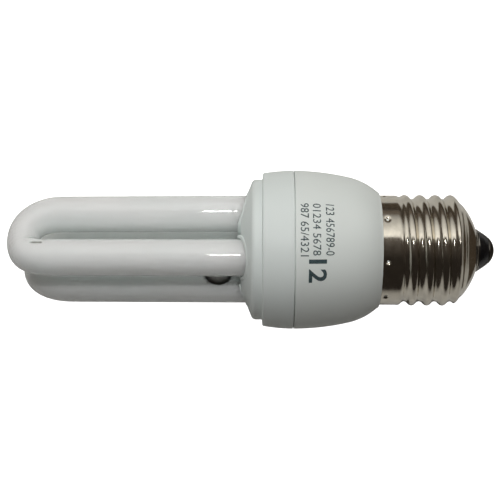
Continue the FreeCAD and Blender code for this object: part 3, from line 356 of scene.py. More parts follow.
# Name, colour, size and depth of the grain, roughness, and for some metallic and stretch
INSIDE = {
    # Mineral powder in baked resin: chalky and rough
    "cement": ("basing_cement", "#CFC9BA", 0.5, 0.06, 0.9),
    # Pressed paper and resin: brown, with a fibre that runs one way
    "board_laminate": ("phenolic_paper_laminate", "#A37B45", 0.6, 0.01, 0.5, 0.0, (1, 0.2, 1)),
    # Copper dipped in tin: light grey with a soft shine
    "tinned_wire": ("tinned_copper_wire", "#B9B9B6", 0.4, 0.005, 0.3, 1.0),
    # Wire pulled through a die: dull metal, with fine lines
    "lead_wire": ("drawn_copper_clad_wire", "#9A8470", 0.3, 0.004, 0.35, 1.0, (0.1, 1, 1)),
    # Film shrunk by heat: dark blue with a low gloss
    "capacitor_sleeve": ("shrunk_pvc_sleeve", "#20243A", 1.5, 0.01, 0.35),
    # Pressed and fired powder: dark grey, matt, finely pitted
    "ferrite": ("sintered_ferrite", "#2A2A2C", 0.25, 0.01, 0.7),
    # Moulded resin: brown-black and satin
    "bobbin_plastic": ("moulded_phenolic", "#1D1B1A", 0.4, 0.006, 0.5),
    # Turns side by side under varnish: reddish metal, ribbed like wound wire
    "enamelled_copper": ("enamelled_copper_turns", "#A5522A", 0.3, 0.08, 0.3, 1.0,
                         (1, 0.02, 0.02)),
    # Moulded resin with filler: black and nearly matt
    "black_epoxy": ("moulded_epoxy", "#141415", 0.3, 0.006, 0.55),
    # Dipped and cured: brick red, glossy, a little uneven
    "film_capacitor_coat": ("dipped_epoxy", "#8C1F14", 2.0, 0.05, 0.25),
    # Lacquer over glass: blue and glossy
    "diac_glass": ("lacquered_glass_body", "#2F4E86", 0.6, 0.01, 0.25),
    # Lacquer over a ceramic rod: tan with a low gloss
    "resistor_coat": ("resistor_lacquer", "#C9B48A", 0.8, 0.02, 0.35),
}


# Modelling helpers

def start_circle(name, centre, radius, segments):
    """A ring of points about the X direction, left in edit mode with all of it selected."""
    bpy.ops.object.select_all(action="DESELECT")
    bpy.ops.mesh.primitive_circle_add(
        vertices=segments, radius=radius * MM, location=Vector(centre) * MM,
        rotation=(0, math.pi / 2, 0))
    piece = bpy.context.object
    piece.name = piece.data.name = name
    bpy.ops.object.mode_set(mode="EDIT")
    bpy.ops.mesh.select_all(action="SELECT")
    return piece


def finish_piece(piece, smooth_angle):
    """Merges doubled points, turns the faces outwards and puts the place into the mesh."""
    bpy.ops.mesh.select_all(action="SELECT")
    bpy.ops.mesh.remove_doubles(threshold=0.002 * MM)
    bpy.ops.mesh.normals_make_consistent(inside=False)
    bpy.ops.object.mode_set(mode="OBJECT")
    bpy.ops.object.transform_apply(location=True, rotation=True, scale=True)
    bpy.ops.object.shade_smooth_by_angle(angle=math.radians(smooth_angle))
    return piece


def join(pieces, name):
    """Joins pieces into the first of them and names it."""
    bpy.ops.object.select_all(action="DESELECT")
    for piece in pieces:
        piece.select_set(True)
    whole = pieces[0]
    bpy.context.view_layer.objects.active = whole
    bpy.ops.object.join()
    whole.name = whole.data.name = name
    return whole


def dress(piece, slot, material, *nodes):
    """Gives a piece its material, its body and the CAD nodes that it stands for."""
    piece.data.materials.clear()
    piece.data.materials.append(material)
    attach(piece, "root")
    if nodes:
        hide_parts(*nodes)


def turned(name, profile, segments=144, closed=True):
    """A profile (place, radius) in millimetres turned about X, ring by ring."""
    piece = start_circle(name, (profile[0][0], 0, 0), profile[0][1], segments)
    following = profile[1:] + (profile[:1] if closed else [])
    for (place, radius), (next_place, next_radius) in zip(profile, following):
        step = (next_place - place) * MM
        bpy.ops.mesh.extrude_edges_move(TRANSFORM_OT_translate={"value": (step, 0, 0)})
        grow = next_radius / radius
        bpy.ops.transform.resize(value=(1, grow, grow), center_override=(next_place * MM, 0, 0))
    return piece


def ramp(value, start, end):
    """Runs from 0 at the start to 1 at the end, and keeps those beyond them."""
    return min(max((value - start) / (end - start), 0.0), 1.0)


def rounded(corners, steps=4):
    """Profile with rounded corners from (place, radius, rounding) corners of a closed outline."""
    points = []
    for index, (x, r, rounding) in enumerate(corners):
        corner = Vector((x, r))
        if not rounding:
            points.append((x, r))
            continue
        before = Vector(corners[index - 1][:2]) - corner
        after = Vector(corners[(index + 1) % len(corners)][:2]) - corner
        half = before.angle(after) / 2
        reach = min(rounding / math.tan(half), 0.49 * before.length, 0.49 * after.length)
        radius = reach * math.tan(half)
        centre = corner + (before.normalized() + after.normalized()).normalized() * (
            radius / math.sin(half))
        start = corner + before.normalized() * reach - centre
        end = corner + after.normalized() * reach - centre
        sweep = start.angle_signed(end)
        for step in range(steps + 1):
            turn = -sweep * step / steps
            spoke = Vector((start.x * math.cos(turn) - start.y * math.sin(turn),
                            start.x * math.sin(turn) + start.y * math.cos(turn)))
            points.append(tuple(centre + spoke))
    return points


def arc(start, end, radius, steps):
    """Corners along an outward-bulging arc between two profile points, without its ends."""
    first, last = Vector(start), Vector(end)
    chord = last - first
    left = Vector((-chord.y, chord.x)).normalized()
    centre = (first + last) / 2 - left * math.sqrt(radius ** 2 - chord.length ** 2 / 4)
    begin = math.atan2(first.y - centre.y, first.x - centre.x)
    finish = math.atan2(last.y - centre.y, last.x - centre.x)
    angles = [begin + (finish - begin) * step / steps for step in range(1, steps)]
    return [(centre.x + radius * math.cos(a), centre.y + radius * math.sin(a), 0)
            for a in angles]


class LAMP_OT_glass(bpy.types.Operator):
    """Blow the two U tubes with their flattened bends and fuse the bridge between them"""
    bl_idname = "lamp.glass"
    bl_label = "Discharge tube"

    # Points round the tube and stations round a bend
    around = 112
    bend_steps = 60

    # Bends: exponent of the blunt inner outline, the fold's place and spread, and in millimetres
    # how much narrower the tube is at the tip
    blunt = 2 / 3
    fold_angle = math.radians(62)
    fold_spread = math.radians(9)
    squeeze = 0.3

    # Pinch seals beyond the round ends of two legs, and how the upper U differs, in millimetres
    seal_length = 6.6
    upper_setback = 0.2
    upper_lean = 0.5

    # Bridge in millimetres: its distance in front of the holder, half its waist, how far its
    # skirts flare out and sink in, and how much broader it is along the lamp
    bridge_distance = 5.4
    waist = 1.4
    flare = 0.75
    sink = 0.25
    breadth = 1.5
    bridge_steps = 9

    def bend(self, sizes, angle, narrowing, lean):
        """Centre, half thickness, half width and tilt of the tube at an angle round the bend."""
        radius = sizes.leg_diameter / 2 / MM
        half_pitch = sizes.leg_pitch / 2 / MM * narrowing
        length = sizes.bend_length / MM
        fold = sizes.crease / MM
        inner_length = length - sizes.bend_thickness / MM - fold
        start = TUBE_TIP + length
        sine = max(math.sin(angle), 0.0)
        cosine = math.cos(angle)
        power = 2 / (sizes.bend_fullness + lean * max(cosine, 0.0))
        drift = sizes.bend_drift / MM * sine ** 2
        near_fold = max(1 - abs(angle - self.fold_angle) / self.fold_spread, 0.0)
        outer_z = (half_pitch + radius) * math.copysign(abs(cosine) ** power, cosine)
        inner_z = (half_pitch - radius) * math.copysign(abs(cosine) ** self.blunt, cosine)
        outer = Vector((start - length * sine ** power, 0, outer_z + drift))
        inner = Vector((start - inner_length * sine ** self.blunt - fold * near_fold, 0,
                        inner_z + drift))
        across = outer - inner
        tilt = math.atan2(-across.x, across.z)
        width = radius - self.squeeze * sine ** 2
        return (outer + inner) / 2, across.length / 2, width, tilt

    def u_tube(self, sizes, name, side, narrowing, setback, sag, lean):
        """One U tube: a ring drawn out along a leg, round the bend and back."""
        radius = sizes.leg_diameter / 2 / MM
        half_pitch = sizes.leg_pitch / 2 / MM
        leg_end = Vector((TUBE_BOX[1].x / MM - self.seal_length, side * half_pitch, half_pitch))
        start_circle(name, leg_end, radius, self.around)
        centre, thickness, width, tilt = leg_end, radius, radius, 0.0
        shift = Vector((setback, leg_end.y * narrowing, sag))
        stations = []
        for step in range(self.bend_steps + 1):
            angle = math.pi * step / self.bend_steps
            place, *shape = self.bend(sizes, angle, narrowing, lean)
            stations.append((place + shift, *shape))
        stations.append((Vector((leg_end.x, leg_end.y, -leg_end.z)), radius, radius, math.pi))
        for place, new_thickness, new_width, new_tilt in stations:
            here = centre * MM
            bpy.ops.mesh.extrude_edges_move()
            bpy.ops.transform.rotate(value=-tilt, orient_axis="Y", center_override=here)
            bpy.ops.transform.resize(
                value=(1, new_width / width, new_thickness / thickness), center_override=here)
            bpy.ops.transform.rotate(value=new_tilt, orient_axis="Y", center_override=here)
            bpy.ops.transform.translate(value=(place - centre) * MM)
            centre, thickness, width, tilt = place, new_thickness, new_width, new_tilt
        bpy.ops.mesh.select_all(action="SELECT")
        bpy.ops.mesh.select_non_manifold(extend=False)
        bpy.ops.mesh.edge_face_add()
        return finish_piece(bpy.context.object, 60)

    def pinch(self, x, y, z):
        """Depth of the short fold pinched into the upper U's bend, at a place in millimetres."""
        if z < PINCH_LOW:
            return 0.0
        run_in = ramp(x, PINCH_LEFT - 0.4, PINCH_LEFT + 0.4)
        run_out = ramp(x, PINCH_RIGHT + 0.5, PINCH_RIGHT - 0.1)
        side = math.exp(-((y - PINCH_Y) / PINCH_WIDTH) ** 2)
        return PINCH_DEPTH * run_in * run_out * side

    def bridge(self, sizes):
        """The fused neck between two legs, its skirts lying on both tubes."""
        radius = sizes.leg_diameter / 2 / MM
        reach = sizes.leg_pitch / 2 / MM
        steps = self.bridge_steps
        rings = [step / steps for step in range(-steps, steps + 1)]
        neck = start_circle("tube_bridge", (0, 0, 0), self.waist, 48)
        bpy.ops.transform.translate(value=(rings[0] * reach * MM, 0, 0))
        for before, after in zip(rings, rings[1:]):
            step = (after - before) * reach * MM
            bpy.ops.mesh.extrude_edges_move(TRANSFORM_OT_translate={"value": (step, 0, 0)})
        finish_piece(neck, 60)
        middle = Vector((FRONT - self.bridge_distance, 0, reach))
        for vertex in neck.data.vertices:
            x, y, z = vertex.co / MM
            part = x / reach
            around = math.atan2(z, y)
            slope = abs(part) * math.pi / 2
            distance = self.waist + self.flare * (1 - math.cos(slope))
            sideways = distance * math.sin(around)
            skin = reach - math.sqrt(radius ** 2 - sideways ** 2)
            along = math.copysign(skin * math.sin(slope), part)
            if abs(part) > 0.999:
                along += math.copysign(self.sink, part)
            forwards = self.breadth * distance * math.cos(around)
            vertex.co = (middle + Vector((forwards, along, sideways))) * MM
        return neck

    def execute(self, context):
        sizes = context.scene.lamp_sizes
        upper = self.u_tube(sizes, "upper_u_tube", 1, sizes.upper_pitch, self.upper_setback,
                            sizes.upper_sag / MM, self.upper_lean)
        lower = self.u_tube(sizes, "lower_u_tube", -1, sizes.lower_pitch,
                            sizes.setback / MM, 0, 0)
        piece = join((upper, lower, self.bridge(sizes)), "coated_glass_tube")
        cosine, sine = math.cos(sizes.leg_turn), math.sin(sizes.leg_turn)
        for vertex in piece.data.vertices:
            x, y, z = vertex.co
            vertex.co = (x, y * cosine - z * sine, y * sine + z * cosine)
            vertex.co.z -= self.pinch(*(vertex.co / MM)) * MM
        dress(piece, "coated_glass", coated_glass(context.scene.lamp_colours),
              "discharge_tube")
        return {"FINISHED"}


class LAMP_OT_holder(bpy.types.Operator):
    """Mould the tube holder: sloped front, collar, ring and four raised rims"""
    bl_idname = "lamp.holder"
    bl_label = "Tube holder"

    # Front: its slope, and the radii of its flat middle and small hole in millimetres
    slope = 0.4
    flat = 9.85
    middle_hole = 0.4

    # Lengths along the lamp in millimetres
    collar_depth = 2.7
    collar_wall = 0.84
    ring_length = 7.3
    ring_step = 0.12
    lap_length = 3.0
    wall = 1.4

    # Radii in millimetres, from the outside in, and that of the ring's curved side
    ring_radius = 18.07
    lap_radius = 17.22
    collar_radius = 16.6
    ring_inside = 16.02
    collar_inside = 15.2
    front_inside = 9.57
    side_curve = 40.0

    # Rims in millimetres: where their tops start and stop following the slope, how far they
    # end under the front, play round the leg, wall, rounding and depth
    shoulder = 8.66
    rim_end = 13.1
    rim_drop = 0.12
    rim_play = 0.12
    rim_wall = 0.85
    rim_soft = 0.22
    rim_depth = 3.0

    # Holes in millimetres, and points round each rim and hole
    hole_play = 0.4
    hole_depth = 12
    around = 96

    def shell(self):
        """Turned shell with softened edges."""
        collar = FRONT + self.collar_depth
        ring = SEAM - self.ring_length
        face = ring + self.ring_step
        lap = SEAM + self.lap_length
        front_back = FRONT + self.wall
        ring_back = ring + self.wall
        curve = arc((face, self.ring_radius), (SEAM, SEAM_RADIUS), self.side_curve, 8)
        corners = [(FRONT, self.middle_hole, 0), (FRONT, self.flat, 0.8),
                   (collar, self.collar_radius, 1.1), (ring, self.collar_radius, 0.1),
                   (face, self.ring_radius, 0.4), *curve, (SEAM, SEAM_RADIUS, 0.08),
                   (SEAM, self.lap_radius, 0), (lap, self.lap_radius, 0),
                   (lap, self.ring_inside, 0), (ring_back, self.ring_inside, 0),
                   (ring_back, self.collar_inside, 0),
                   (collar + self.collar_wall, self.collar_inside, 0),
                   (front_back, self.front_inside, 0), (front_back, self.middle_hole, 0)]
        return finish_piece(turned("holder_shell", rounded(corners)), 30)

    def front_at(self, distance):
        """Place of the rims' tops at a distance from the lamp's axis."""
        edge = FRONT + self.slope * (self.rim_end - self.flat) - self.rim_drop
        low = FRONT - RIM_HEIGHT
        rise = (edge - low) / (self.rim_end - self.shoulder)
        return low + rise * max(distance - self.shoulder, 0.0)

    def rim(self, sizes, centre_y, centre_z, index):
        """One raised rim, its rounded top following the slope of the front."""
        inner = sizes.leg_diameter / 2 / MM + self.rim_play
        outer = inner + self.rim_wall
        section = rounded([(self.rim_depth, inner, 0), (0, inner, self.rim_soft),
                           (0, outer, self.rim_soft), (self.rim_depth, outer, 0)])
        rim = finish_piece(turned(f"leg_rim_{index}", section, self.around), 50)
        for vertex in rim.data.vertices:
            x, y, z = vertex.co / MM
            y += centre_y
            z += centre_z
            vertex.co = Vector((x + self.front_at(math.hypot(y, z)), y, z)) * MM
        return rim

    def cut_hole(self, shell, sizes, centre_y, centre_z):
        """Cuts the hole for one leg through the shell's front."""
        bpy.ops.object.select_all(action="DESELECT")
        bpy.ops.mesh.primitive_cylinder_add(
            vertices=self.around, radius=sizes.leg_diameter / 2 + self.hole_play * MM,
            depth=self.hole_depth * MM,
            location=(FRONT * MM, centre_y * MM, centre_z * MM), rotation=(0, math.pi / 2, 0))
        punch = bpy.context.object
        hole = shell.modifiers.new("leg_hole", "BOOLEAN")
        hole.operation = "DIFFERENCE"
        hole.solver = "EXACT"
        hole.object = punch
        bpy.context.view_layer.objects.active = shell
        bpy.ops.object.modifier_apply(modifier=hole.name)
        bpy.data.objects.remove(punch)

    def execute(self, context):
        sizes = context.scene.lamp_sizes
        pieces = [self.shell()]
        distance = sizes.leg_pitch / 2 / MM * math.sqrt(2)
        for index in range(4):
            turn = sizes.leg_turn + math.radians(45 + 90 * index)
            centre = (distance * math.cos(turn), distance * math.sin(turn))
            pieces.append(self.rim(sizes, *centre, index + 1))
            self.cut_hole(pieces[0], sizes, *centre)
        piece = join(pieces, "moulded_tube_holder")
        bpy.ops.object.shade_smooth_by_angle(angle=math.radians(30))
        dress(piece, "holder_plastic",
              white_plastic(context.scene.lamp_colours, "moulded_pbt_holder", (0.985, 1.0, 1.0)),
              "tube_holder")
        return {"FINISHED"}


def housing_side():
    """Outer profile of the housing: long curved side, then the turned-in end."""
    side_curve = 58.0
    end_curve = 15.6
    start = (SEAM + SEAM_GAP, SEAM_RADIUS, 0.06)
    shoulder = (-6.55, SEAM_RADIUS - 1.62, 0)
    neck = (-0.35, 13.8, 0)
    return [start, *arc(start[:2], shoulder[:2], side_curve, 22), shoulder,
            *arc(shoulder[:2], neck[:2], end_curve, 16), neck]


class LAMP_OT_housing(bpy.types.Operator):
    """Mould the ballast housing with its shadow seam, curved side and turned-in neck"""
    bl_idname = "lamp.housing"
    bl_label = "Ballast housing"

    # Wall and depth of the seam in millimetres
    wall = 1.4
    seam_depth = 0.9

    # Spigot that the cap sits on, in millimetres
    spigot_length = 3.6
    spigot_radius = 12.62
    spigot_inside = 11.37

    def execute(self, context):
        inside = SEAM_RADIUS - self.wall
        floor = SEAM_RADIUS - self.seam_depth
        seam = [(SEAM, inside, 0), (SEAM, floor, 0), (SEAM + SEAM_GAP, floor, 0)]
        spigot = [(-0.1, 13.7, 0), (0, 13.45, 0), (0, self.spigot_radius, 0),
                  (self.spigot_length, self.spigot_radius, 0),
                  (self.spigot_length, self.spigot_inside, 0), (-0.56, self.spigot_inside, 0)]
        back = [(-1.4, 12.4, 0), (-6.83, 15.7, 0), (SEAM + 3, inside, 0)]
        corners = [*seam, *housing_side(), *spigot, *back]
        piece = finish_piece(turned("moulded_ballast_housing", rounded(corners)), 30)
        dress(piece, "housing_plastic",
              white_plastic(context.scene.lamp_colours, "moulded_pbt_housing", (1.0, 1.0, 0.99)),
              "ballast_housing")
        return {"FINISHED"}


class LAMP_OT_print(bpy.types.Operator):
    """Pad-print three rows of plain figures and a bold pair on the housing"""
    bl_idname = "lamp.print"
    bl_label = "Printed figures"

    # Figures, foot of the row along X, height, first and last place across, boldness
    rows = (("123 456789-0", -13.25, 1.9, 10.4, -1.3, 0.0),
            ("01234 5678", -16.15, 1.8, 10.4, -1.3, 0.0),
            ("987 65/4321", -18.9, 1.85, 10.4, -1.5, 0.0),
            ("12", -17.05, 4.05, -2.2, -7.4, 0.022))

    # Film of ink and its lift off the plastic, and strips that a row is cut into, in millimetres
    film = 0.02
    lift = 0.015
    strip_width = 0.5
    strip_height = 1.0

    def skin(self, place):
        """Radius of the housing's side at a place along the axis."""
        profile = housing_side()
        for (x0, r0, _), (x1, r1, _) in zip(profile, profile[1:]):
            if x0 <= place <= x1:
                return r0 + (r1 - r0) * (place - x0) / (x1 - x0)
        return SEAM_RADIUS

    def row(self, figures, foot, height, first, last, bold):
        """One row as a flat mesh, cut into strips and laid round the housing."""
        bpy.ops.object.select_all(action="DESELECT")
        bpy.ops.object.text_add()
        text = bpy.context.object
        text.data.body = figures
        text.data.offset = bold
        text.data.extrude = 0.5
        text.data.resolution_u = 3
        bpy.ops.object.convert(target="MESH")
        piece = bpy.context.object
        corners = [Vector(corner) for corner in piece.bound_box]
        low = Vector(min(c[axis] for c in corners) for axis in range(3))
        high = Vector(max(c[axis] for c in corners) for axis in range(3))
        start, end = (math.asin(place / SEAM_RADIUS) * SEAM_RADIUS for place in (first, last))
        for vertex in piece.data.vertices:
            part = [(vertex.co[axis] - low[axis]) / (high[axis] - low[axis]) for axis in range(3)]
            vertex.co = (part[0] * (start - end), part[1] * height, part[2] * self.film)
        bpy.ops.object.mode_set(mode="EDIT")
        for across, length, strip in ((Vector((1, 0, 0)), start - end, self.strip_width),
                                      (Vector((0, 1, 0)), height, self.strip_height)):
            for cut in range(1, int(length / strip)):
                bpy.ops.mesh.select_all(action="SELECT")
                bpy.ops.mesh.bisect(plane_co=across * cut * strip, plane_no=across)
        bpy.ops.mesh.select_all(action="SELECT")
        bpy.ops.mesh.remove_doubles(threshold=0.002)
        bpy.ops.mesh.normals_make_consistent(inside=False)
        bpy.ops.object.mode_set(mode="OBJECT")
        for vertex in piece.data.vertices:
            along, up, height_in_film = vertex.co
            place = foot + up
            radius = self.skin(place) + self.lift + height_in_film
            turn = (start - along) / SEAM_RADIUS
            vertex.co = Vector((place, radius * math.sin(turn), radius * math.cos(turn))) * MM
        return piece

    def execute(self, context):
        piece = join([self.row(*entry) for entry in self.rows], "printed_figures")
        bpy.ops.object.transform_apply(location=True, rotation=True, scale=True)
        dress(piece, "housing_plastic", pad_ink(context.scene.lamp_colours))
        return {"FINISHED"}


class LAMP_OT_cap(bpy.types.Operator):
    """Draw the cap's shell, roll its thread and punch the dimples"""
    bl_idname = "lamp.cap"
    bl_label = "Screw cap"

    # Thread in millimetres: radii of its crests, its roots and the skirt, its rounding, where
    # its first crest starts and the length over which it fades in
    crest = 13.1
    root = 12.13
    skirt = 12.95
    soft = 1.025
    thread_start = 6.05
    run_in = 2.3

    # Domed end in millimetres: its radius, the turn, place and radius where it ends, the lip's
    # radius and length, and its blend into the thread
    dome = 18.23
    dome_end = math.radians(70.5)
    rim = (22.75, 5.25)
    lip = 0.3
    lip_length = 0.2
    blend = 0.3

    # Shallow ring pressed into the domed end, in millimetres
    fold_place = 18.9
    fold_width = 0.5
    fold_depth = 0.22

    # Dimples in millimetres: their place, the punch's ball and its depth, then the share of the
    # foot that the ball shapes, the share over which the edge fades, and the first one's turn
    dimple_place = 1.15
    ball = 0.8
    dimple_depth = 0.38
    pressed = 0.8
    faded = 0.7
    first_dimple = math.radians(12)

    # Mesh: columns to a dimple and how they crowd there, rows to the skirt and the closed end,
    # and the length of a row on the skirt and on the thread in millimetres
    dimple_columns = 32
    crowding = 0.75
    skirt_rows = 20
    dome_rows = 24
    lip_rows = 7
    skirt_row = 0.12
    thread_row = 0.25

    def flank(self, pitch):
        """Slope of the straight flanks that join the round crests and roots."""
        low, high = 0.0, math.pi / 2
        for halving in range(40):
            slope = (low + high) / 2
            straight = (pitch / 2 - 2 * self.soft * math.sin(slope)) / math.cos(slope)
            depth = 2 * self.soft * (1 - math.cos(slope)) + straight * math.sin(slope)
            if depth < self.crest - self.root:
                low = slope
            else:
                high = slope
        return slope

    def thread(self, place, pitch, slope):
        """Radius of the rolled thread at a distance from a crest."""
        along = abs((place / pitch + 0.5) % 1.0 - 0.5) * pitch
        curved = self.soft * math.sin(slope)
        if along < curved:
            return self.crest - self.soft + math.sqrt(self.soft ** 2 - along ** 2)
        if along > pitch / 2 - curved:
            rest = pitch / 2 - along
            return self.root + self.soft - math.sqrt(self.soft ** 2 - rest ** 2)
        return self.crest - self.soft * (1 - math.cos(slope)) - (along - curved) * math.tan(slope)

    def dome_middle(self):
        """Middle of the domed end's circle, as its place along the axis and its radius."""
        return (self.rim[0] - self.dome * math.sin(self.dome_end),
                self.rim[1] - self.dome * math.cos(self.dome_end))

    def fold(self, place):
        """Depth of the shallow ring at a place along the axis."""
        return self.fold_depth * math.exp(-((place - self.fold_place) / self.fold_width) ** 2)

    def radius(self, place, angle, pitch, slope):
        """Outer radius: skirt, thread fading in, cut off by the closed end."""
        rise = ramp(place, self.thread_start - self.run_in, self.thread_start)
        rise = rise * rise * (3 - 2 * rise)
        crest = place - self.thread_start - pitch * angle / (2 * math.pi)
        radius = self.skirt + rise * (self.thread(crest, pitch, slope) - self.skirt)
        centre, height = self.dome_middle()
        dome = height + math.sqrt(self.dome ** 2 - max(place - centre, 0.0) ** 2)
        near = max(self.blend - abs(radius - dome), 0.0)
        return min(radius, dome) - near ** 2 / (4 * self.blend) - self.fold(place)

    def dimple(self, place, offset):
        """Depth of a punched dimple at a place, and at a distance round the skirt from it."""
        foot = math.sqrt(self.ball ** 2 - (self.ball - self.dimple_depth) ** 2)
        edge = foot * self.pressed
        away = math.hypot(place - self.dimple_place, offset)
        raised = self.ball - math.sqrt(self.ball ** 2 - min(away, edge) ** 2)
        fade = max(1 - max(away - edge, 0.0) / (foot * self.faded), 0.0)
        return (self.dimple_depth - raised) * fade ** 2

    def profile(self):
        """Places of the skirt's and thread's rows, then points of the domed end and its lip."""
        centre, height = self.dome_middle()
        narrowest = self.root - self.blend - height
        threaded_end = centre + math.sqrt(self.dome ** 2 - narrowest ** 2)
        places = [self.skirt_row * step for step in range(self.skirt_rows)]
        while places[-1] < threaded_end - self.thread_row:
            places.append(places[-1] + self.thread_row)
        closing = []
        first = math.asin((places[-1] - centre) / self.dome)
        for step in range(1, self.dome_rows + 1):
            turn = first + (self.dome_end - first) * step / self.dome_rows
            place = centre + self.dome * math.sin(turn)
            closing.append((place, height + self.dome * math.cos(turn) - self.fold(place)))
        lip_x = centre + (self.dome + self.lip) * math.sin(self.dome_end)
        lip_r = height + (self.dome + self.lip) * math.cos(self.dome_end)
        for step in range(1, self.lip_rows + 1):
            turn = self.dome_end * (1 - step / self.lip_rows)
            closing.append((lip_x - self.lip * math.sin(turn), lip_r - self.lip * math.cos(turn)))
        closing.append((lip_x + self.lip_length, lip_r - self.lip))
        return places, closing

    def execute(self, context):
        sizes = context.scene.lamp_sizes
        pitch = sizes.thread_pitch / MM
        slope = self.flank(pitch)
        count = sizes.dimples
        places, closing = self.profile()
        rows = len(places) + len(closing)
        columns = self.dimple_columns * count
        bpy.ops.object.select_all(action="DESELECT")
        bpy.ops.mesh.primitive_grid_add(x_subdivisions=rows - 1, y_subdivisions=columns, size=1)
        piece = context.object
        piece.name = piece.data.name = "nickel_screw_shell"
        for vertex in piece.data.vertices:
            row = round((vertex.co.x + 0.5) * (rows - 1))
            column = round((vertex.co.y + 0.5) * columns)
            part = column / self.dimple_columns
            step = part - self.crowding * math.sin(2 * math.pi * part) / (2 * math.pi)
            angle = self.first_dimple + 2 * math.pi * step / count
            if row < len(places):
                x = places[row]
                radius = self.radius(x, angle, pitch, slope)
                offset = (step - round(step)) * 2 * math.pi / count * radius
                radius -= self.dimple(x, offset)
            else:
                x, radius = closing[row - len(places)]
            vertex.co = Vector((x, radius * math.cos(angle), radius * math.sin(angle))) * MM
        bpy.ops.object.mode_set(mode="EDIT")
        finish_piece(piece, 180)
        wall = piece.modifiers.new("sheet", "SOLIDIFY")
        wall.thickness = sizes.sheet
        wall.offset = -1
        bpy.ops.object.modifier_apply(modifier=wall.name)
        bpy.ops.object.shade_smooth_by_angle(angle=math.radians(50))
        dress(piece, "nickel_plate", nickel_plate(context.scene.lamp_colours), "screw_shell")
        return {"FINISHED"}


class LAMP_OT_cap_end(bpy.types.Operator):
    """Press the black glass into the cap and set the contact on it"""
    bl_idname = "lamp.cap_end"
    bl_label = "Insulator and contact"

    # Contact in millimetres: radii of its crown, its eyelet, the hole for it and its blunt tip,
    # and the height of the crown's edge
    crown_radius = 3.1
    eyelet_radius = 1.2
    hole_radius = 1.25
    tip_radius = 0.03
    edge_height = 0.35

    def insulator(self):
        """Black glass, from its back inside the shell round to its front."""
        back = INSULATOR_BOX[0].x / MM
        corners = [(back, self.hole_radius, 0), (back, 8.5, 0), (20.9, 8.35, 0), (21.8, 6.85, 0),
                   (22.55, 5.1, 0), (CAP_END - 0.1, 5.05, 0.15), (24.5, 4.2, 1.0),
                   (GLASS_FRONT, 3.4, 0.2), (GLASS_FRONT, self.hole_radius, 0)]
        return finish_piece(turned("pressed_black_glass", rounded(corners), 96), 35)

    def contact(self):
        """Eyelet through the glass, under a domed crown of solder."""
        back = CONTACT_BOX[0].x / MM
        edge = GLASS_FRONT + self.edge_height
        rise = CONTACT_TIP - GLASS_FRONT - self.edge_height
        dome = (self.crown_radius ** 2 + rise ** 2) / (2 * rise)
        crown = arc((edge, self.crown_radius), (CONTACT_TIP, self.tip_radius), dome, 14)
        corners = [(back, self.tip_radius, 0), (back, self.eyelet_radius, 0),
                   (GLASS_FRONT, self.eyelet_radius, 0), (GLASS_FRONT, self.crown_radius, 0.08),
                   (edge, self.crown_radius, 0.1), *crown, (CONTACT_TIP, self.tip_radius, 0)]
        return finish_piece(turned("soldered_contact", rounded(corners), 72, closed=False), 35)

    def execute(self, context):
        colours = context.scene.lamp_colours
        dress(self.insulator(), "black_glass", black_glass(colours), "cap_insulator")
        dress(self.contact(), "contact_metal", tinned_contact(), "centre_contact")
        return {"FINISHED"}


class LAMP_OT_inside(bpy.types.Operator):
    """Finish the ballast's own parts, which keep their CAD shapes"""
    bl_idname = "lamp.inside"
    bl_label = "Ballast inside"

    def execute(self, context):
        materials = {slot: grained(*finish) for slot, finish in INSIDE.items()}
        for entry in frame["record"]["subparts"]:
            if entry["material_slot"] in materials:
                node = frame["nodes"][entry["node"]]
                node.data.materials.clear()
                node.data.materials.append(materials[entry["material_slot"]])
        return {"FINISHED"}


